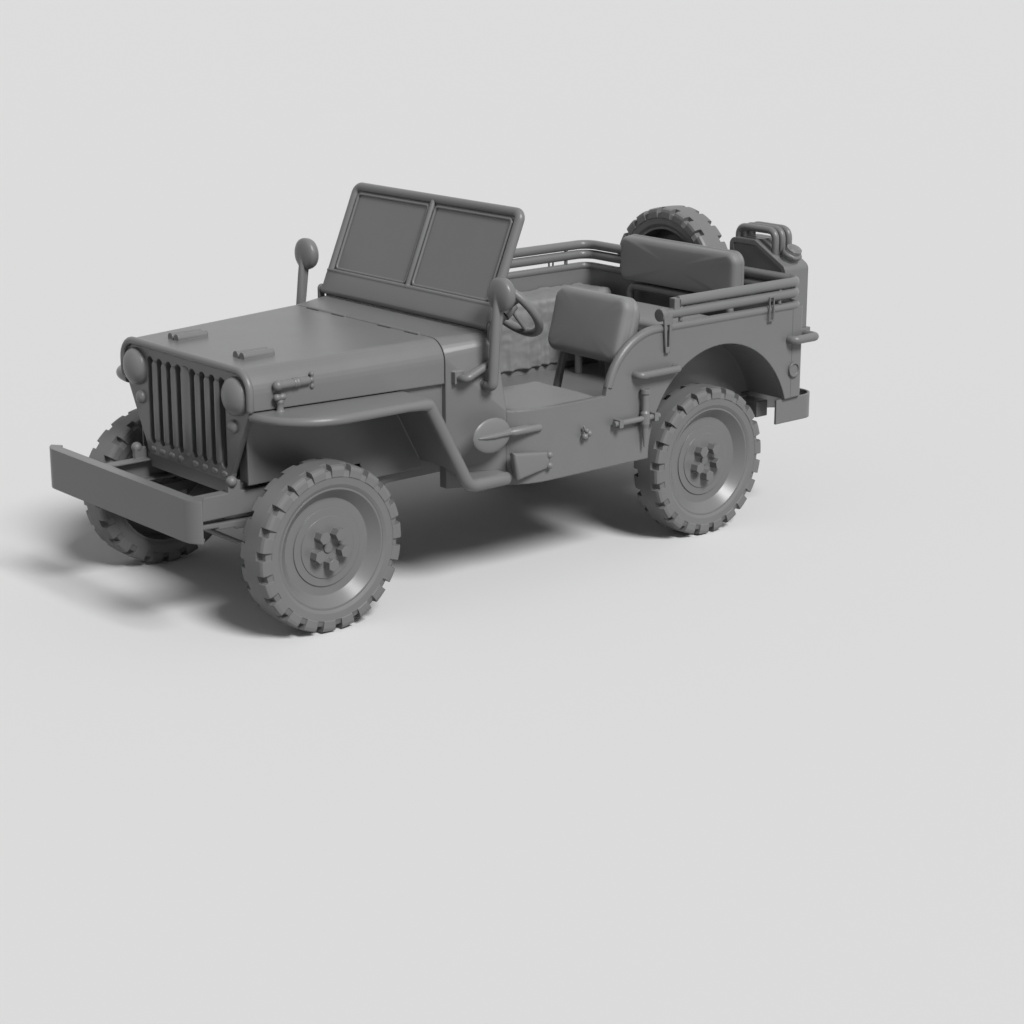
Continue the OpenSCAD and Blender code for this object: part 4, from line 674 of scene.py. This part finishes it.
HOOD_HALF, HOOD_FLARE, HOOD_FRONT, HOOD_LENGTH = 462.0, 83.0, -225.0, 865.0
CHEEK_FRONT, CHEEK_BACK, CHEEK_TOP, CHEEK_SET, CHEEK_WALL = 440.0, COWL_FRONT - 1, 884.0, 20.0, 6.0


def hood_half(y):
    """Half the hood's width at a place along the car."""
    return HOOD_HALF + HOOD_FLARE * (y - HOOD_FRONT) / HOOD_LENGTH


cheek = [Vector((y, on_path(y) - SKIN_LAP)) for y in between(CHEEK_FRONT, CHEEK_BACK, 12)]
cheek += [Vector((CHEEK_BACK, CHEEK_TOP)), Vector((CHEEK_FRONT, CHEEK_TOP))]
for side, word in SIDES:
    spots, cells = plate(cheek, 0.0, CHEEK_WALL, SIDEWAYS)
    for p in spots:
        p.x = side * (hood_half(p.y) - CHEEK_SET - CHEEK_WALL + p.x)
    trim(f"cowl_cheek_{word}", [(spots, cells)], "paint", "chassis")

# Hood: the rolled front lip and the long catches

LIP_SET, LIP_R, LIP_Y, LIP_LOW, HOOD_R, HOOD_R_Z = 7.0, 15.0, -217.0, 868.0, 86.0, 928.0
half_lip = [(HOOD_HALF - LIP_SET, LIP_LOW)]
half_lip += [(HOOD_HALF - HOOD_R + (HOOD_R - LIP_SET) * math.cos(a),
              HOOD_R_Z + (HOOD_R - LIP_SET) * math.sin(a)) for a in quarter(8)]
lip = [(x, LIP_Y, z) for x, z in half_lip] + [(-x, LIP_Y, z) for x, z in reversed(half_lip)]
trim("hood_lip", [tube(lip, LIP_R)], "paint", "hood")

CATCH_X, CATCH_Z, CATCH_FRONT, CATCH_MIDDLE = 488.0, 953.0, -113.0, -32.0
CATCH_TAIL, CATCH_END, CATCH_BAR, CATCH_KNOB = 24.0, 42.0, 22.0, 24.0
CATCH_FRONT_R, CATCH_TAIL_R, CATCH_BAR_R, CATCH_KNOB_R = 20.0, 10.0, 7.0, 10.0
CATCH_ROWS = [(0, -15), (17, -14), (20, -10), (20, -5), (17.6, 0), (20, 5), (20, 10), (17, 14), (0, 15)]
for side, word in SIDES:
    x = side * CATCH_X
    lying = Matrix.Translation((x, CATCH_MIDDLE, CATCH_Z)) @ Matrix.Rotation(-SQUARE, 4, "X")
    catch = [ball((x, CATCH_FRONT, CATCH_Z), CATCH_FRONT_R),
             tube([(x, y, CATCH_Z) for y in (CATCH_TAIL, CATCH_END)], CATCH_TAIL_R),
             lathe(CATCH_ROWS, lying),
             tube([(x, CATCH_END, CATCH_Z + way * CATCH_BAR) for way in (-1, 1)], CATCH_BAR_R)]
    catch += [ball((x, CATCH_END, CATCH_Z + way * CATCH_KNOB), CATCH_KNOB_R) for way in (-1, 1)]
    trim(f"hood_catch_{word}", catch, "paint", "hood")

# Grille: rounded bars between the slots, and the pressed bosses under them

GRILLE_FACE, SLOT_LOW, SLOT_HIGH, SLOT_PITCH = -214.0, 634.0, 930.0, 69.0
BAR_RELIEF, BAR_HALF, MIDDLE_BAR_HALF, FIRST_BAR_X = 9.0, 18.0, 33.0, 86.5
BOSS_X, BOSS_Z, BOSS_SIZE = 52.0, 582.0, (20, 7, 13)
bars = [(0.0, MIDDLE_BAR_HALF)]
bars += [(side * (FIRST_BAR_X + SLOT_PITCH * i), BAR_HALF) for side in (1, -1) for i in range(3)]
front = []
for x, half in bars:
    bar = tube([(x, GRILLE_FACE, SLOT_LOW), (x, GRILLE_FACE, SLOT_HIGH)], half, 24)
    front.append(squeezed(bar, 1, GRILLE_FACE, BAR_RELIEF / half))
for i in range(4):
    x = BOSS_X + SLOT_PITCH * i
    front += [ball((side * x, GRILLE_FACE, BOSS_Z), *BOSS_SIZE) for side in (1, -1)]
trim("grille_bars", front, "paint", "chassis")

# Windscreen, in its own leaning axes: the pressed sill, the beads round the panes and the divider

SILL_LOW, SILL_TOP, SILL_HALF, SILL_R = -8.0, 84.0, 562.0, 12.0
SILL_BACK, SILL_FRONT, SILL_SOFT = -12.0, 20.0, 8.0
PANE_X, PANE_Z, PANE_HALF_X, PANE_HALF_Z, PANE_R = 269.0, 268.0, 246.0, 170.0, 16.0
SILL_BEAD_Y, DIVIDER_Y, BEAD_Y, DIVIDER_TOP = -13.0, -9.0, -7.0, 456.0
SILL_BEAD_R, DIVIDER_R, BEAD_R = 9.0, 12.0, 6.0
COWL_ROLL_HALF, COWL_ROLL_Y, COWL_ROLL_Z, COWL_ROLL_R = 560.0, 876.0, 1040.0, 11.0
sill = outline(SILL_HALF, (SILL_TOP - SILL_LOW) / 2, SILL_R, 5, WHOLE)
lifted = Matrix.Translation((0, 0, (SILL_LOW + SILL_TOP) / 2)) @ FORWARD
screen = [plate(sill, SILL_BACK, SILL_FRONT, lifted, SILL_SOFT),
          tube([(side * (SILL_HALF - SILL_SOFT), SILL_BEAD_Y, SILL_TOP) for side in (-1, 1)], SILL_BEAD_R),
          tube([(0, DIVIDER_Y, SILL_TOP), (0, DIVIDER_Y, DIVIDER_TOP)], DIVIDER_R)]
pane = outline(PANE_HALF_X, PANE_HALF_Z, PANE_R, 5, WHOLE)
for side in (1, -1):
    bead = [Vector((side * PANE_X + p.x, BEAD_Y, PANE_Z + p.y)) for p in pane]
    screen.append(hoop(bead, BEAD_R, Vector((0, 1, 0))))
trim("windscreen_beads", screen, "paint", "windscreen", RAKED)
cowl_roll = tube([(side * COWL_ROLL_HALF, COWL_ROLL_Y, COWL_ROLL_Z) for side in (-1, 1)], COWL_ROLL_R)
trim("cowl_roll", [cowl_roll], "paint", "chassis")

# Mirrors: domed heads on thick arms

MIRROR_X, MIRROR_Y, MIRROR_Z, ARM_BEND = 663.0, 838.0, 1212.0, 20.0
HEAD_ROWS = [(0, -26), (54, -24), (63, -19), (67, -11), (69, 0), (70, 10), (67, 18), (58, 25), (40, 31),
             (20, 34), (0, 35)]
ARM_FOOT = ((640, 790, 850), (MIRROR_X, 790, 850), (MIRROR_X, 800, 1000))
ARM_TOP, ARM_TOP_R = ((808, 1120), (811, 1180), (812, 1226)), [17.0, 13.0, 4.0]
ARM_R, ARM_THIN_R = 24.0, 21.0
for side, word in SIDES:
    facing = Matrix.Translation((side * MIRROR_X, MIRROR_Y, MIRROR_Z)) @ Matrix.Rotation(SQUARE, 4, "X")
    arm = bent([Vector((side * x, y, z)) for x, y, z in ARM_FOOT], ARM_BEND)
    radii = between(ARM_R, ARM_THIN_R, len(arm) - 1) + ARM_TOP_R
    arm += [Vector((side * MIRROR_X, y, z)) for y, z in ARM_TOP]
    trim(f"mirror_{word}", [lathe(HEAD_ROWS, facing, 40), tube(arm, radii)], "paint", "chassis")

# Tools on the left side: the shovel's domed blade with its ridge and socket, the axe's head, the clip

SHOVEL_Z = 660.0
BLADE_PLACE, BLADE_SIZE = (697, 757, SHOVEL_Z), (15, 97, 72)
RIDGE, RIDGE_R = ((708, 684), (712, 720), (713, 760), (711, 800), (706, 850)), [3.0, 8.0, 10.0, 10.0, 12.0]
SOCKET, SOCKET_R = ((704, 846), (712, 858), (714, 990)), [13.0, 17.0, 16.0]
AXE_HEAD = ((869, 466), (1032, 490), (1032, 550), (847, 574))
AXE_IN, AXE_OUT, AXE_GROWN, AXE_SOFT = 702.0, 735.0, 4.0, 15.0
CLIP_KNOBS = ((736, 1221, 589, 14), (737, 1243, 599, 14), (736, 1231, 612, 10))
CLIP_PIN, CLIP_PIN_R = ((730, 1231, 600), (733, 1218, 630)), 5.0
tools = [ball(BLADE_PLACE, *BLADE_SIZE),
         tube([(x, y, SHOVEL_Z) for x, y in RIDGE], RIDGE_R),
         tube([(x, y, SHOVEL_Z) for x, y in SOCKET], SOCKET_R),
         plate(drawn_in([Vector(p) for p in AXE_HEAD], -AXE_GROWN), AXE_IN, AXE_OUT, SIDEWAYS, AXE_SOFT, 6)]
tools += [ball((x, y, z), r) for x, y, z, r in CLIP_KNOBS]
tools.append(tube(CLIP_PIN, CLIP_PIN_R))
trim("tool_forms", tools, "tool", "chassis")

# Rear corners: the folded corner plates, round outside and fitted to the tub inside

PLATE_OUT, PLATE_REAR, PLATE_R, PLATE_LAP, PLATE_WALL = 716.9, 2550.9, 18.0, 72.0, 3.0
PLATE_LOW, PLATE_HIGH = 562.0, 972.0
TUB_CORNER_X, TUB_CORNER_Y, TUB_CORNER_R = 656.0, 2490.0, 57.0
fold = [Vector((PLATE_OUT, PLATE_REAR - PLATE_LAP))]
fold += [Vector((PLATE_OUT - PLATE_R * (1 - math.cos(a)), PLATE_REAR - PLATE_R * (1 - math.sin(a))))
         for a in quarter(6)]
fold += [Vector((PLATE_OUT - PLATE_LAP, PLATE_REAR - inset)) for inset in (0.0, PLATE_WALL)]
fold += [Vector((TUB_CORNER_X + TUB_CORNER_R * math.cos(a), TUB_CORNER_Y + TUB_CORNER_R * math.sin(a)))
         for a in reversed(quarter(6))]
fold.append(Vector((PLATE_OUT - PLATE_WALL, PLATE_REAR - PLATE_LAP)))
for side, word in SIDES:
    row = [Vector((side * p.x, p.y)) for p in fold]
    trim(f"corner_plate_{word}", [plate(row, PLATE_LOW, PLATE_HIGH, LEVEL)], "paint", "chassis")

# Fuel can: thick carrying handles and a moulded cap

CAN_X, CAN_MIDDLE, CAN_TOP, CAN_SLOPE = 403.0, 2649.0, 1222.0, 90.0
HANDLE_PITCH, HANDLE_R, HANDLE_BEND = 43.0, 16.5, 44.0
HANDLE_SHAPE = ((-147, -30), (-147, 48), (78, 48), (78, -78))      # across and up from the can's top
CAP_ROWS = [(0, 2), (40, 2), (43, 10), (41, 18), (38, 24), (40, 30), (45, 38), (46, 48), (42, 55), (36, 58),
            (37, 64), (33, 72), (22, 78), (0, 80)]
CAP_SET, CAP_TILT, CAP_MIDDLE = 118.0, math.radians(30), 40.0
LUMP_HEIGHT, LUMP_SCALE = 5.0, 0.035
can = []
for i in (-1, 0, 1):
    y = CAN_MIDDLE + i * HANDLE_PITCH
    arch = [Vector((CAN_X + across, y, CAN_TOP + up)) for across, up in HANDLE_SHAPE]
    can.append(tube(bent(arch, HANDLE_BEND, 8), HANDLE_R))
tilted = (Matrix.Translation((CAN_X + CAP_SET, CAN_MIDDLE, CAN_TOP - CAN_SLOPE))
          @ Matrix.Rotation(CAP_TILT, 4, "Y"))
cap, cap_faces = lathe(CAP_ROWS, tilted, 40)
cap_middle = tilted @ Vector((0, 0, CAP_MIDDLE))
for p in cap:
    p += (p - cap_middle).normalized() * LUMP_HEIGHT * noise.noise(p * LUMP_SCALE)
can.append((cap, cap_faces))
trim("can_fittings", can, "paint", "chassis")

# Canvas thrown over the wheel boxes, hanging in folds down their inner faces

BOX_IN, BOX_TOP = 466.0, 886.0
CANVAS_FRONT, CANVAS_BACK, CANVAS_DROP, CANVAS_LAP = 1596.0, 2470.0, 305.0, 214.0
CANVAS_ROWS, CANVAS_STEPS, CANVAS_BEND, CANVAS_THICK = 120, 66, 24.0, 0.002
HEM_HEIGHT, HEM_SCALE, HEM_SEED = 4.0, 0.009, 3.1
PLEAT_PITCH, PLEAT_WANDER, PLEAT_SCALE, PLEAT_SEED = 88.0, 2.6, 0.006, 7.3
PLEAT_DEPTH, PLEAT_LYING, PLEAT_HANGING = 24.0, 0.2, 0.8           # shares of the depth, on top and below
CRUMPLE_ALONG, CRUMPLE_DOWN, CRUMPLE_SEED = 0.010, 0.012, 5.0
CRUMPLE_DEPTH, CRUMPLE_LEVEL, CANVAS_OFF = 9.0, 0.35, 5.0
CRUMPLE_FRACTAL = (0.9, 2.0, 3)                                    # roughness, step in scale, octaves


def canvas_off(s, y, pleat, side):
    """How far the sheet stands off the box, at a distance from its outer edge."""
    spot = Vector((s * CRUMPLE_DOWN, y * CRUMPLE_ALONG, side * CRUMPLE_SEED))
    crumple = max(0.0, CRUMPLE_LEVEL + noise.fractal(spot, *CRUMPLE_FRACTAL))
    fall = min(1.0, max(0.0, (s - CANVAS_LAP) / CANVAS_DROP))
    pleats = (1 - pleat) * PLEAT_DEPTH * (PLEAT_LYING + PLEAT_HANGING * fall)
    return CANVAS_OFF + CRUMPLE_DEPTH * crumple + pleats


def canvas_place(s, off):
    """A point across the sheet: over the box's top, round its edge and down its inner face."""
    r = CANVAS_BEND / 2
    if s < CANVAS_LAP - r:
        return BOX_IN + CANVAS_LAP - s, BOX_TOP + off
    if s < CANVAS_LAP + r:
        a = math.radians(90 + 90 * (s - CANVAS_LAP + r) / CANVAS_BEND)
        return (BOX_IN + r * (1 + math.cos(a)) + off * math.cos(a),
                BOX_TOP - r * (1 - math.sin(a)) + off * math.sin(a))
    return BOX_IN - off, BOX_TOP - (s - CANVAS_LAP)


def canvas(side):
    """A sheet as a grid of points."""
    spots, cells = [], []
    for y in between(CANVAS_FRONT, CANVAS_BACK, CANVAS_ROWS):
        drop = CANVAS_DROP + HEM_HEIGHT * noise.noise(Vector((y * HEM_SCALE, side * HEM_SEED, 0)))
        wander = PLEAT_WANDER * noise.noise(Vector((y * PLEAT_SCALE, side * PLEAT_SEED, 2)))
        pleat = abs(math.sin(math.pi * y / PLEAT_PITCH + wander))
        for s in between(0.0, CANVAS_LAP + drop, CANVAS_STEPS):
            x, z = canvas_place(s, canvas_off(s, y, pleat, side))
            spots.append(Vector((side * x, y, z)))
    wide = CANVAS_STEPS + 1
    for j in range(CANVAS_ROWS):
        for i in range(CANVAS_STEPS):
            k = j * wide + i
            cells.append((k, k + 1, k + wide + 1, k + wide))
    return spots, cells


for side, word in SIDES:
    cover = trim(f"canvas_{word}", [canvas(side)], "canvas", "chassis", CAR, NO_CREASE)
    thick = cover.modifiers.new("thick", "SOLIDIFY")
    thick.thickness, thick.offset = CANVAS_THICK, 0.0
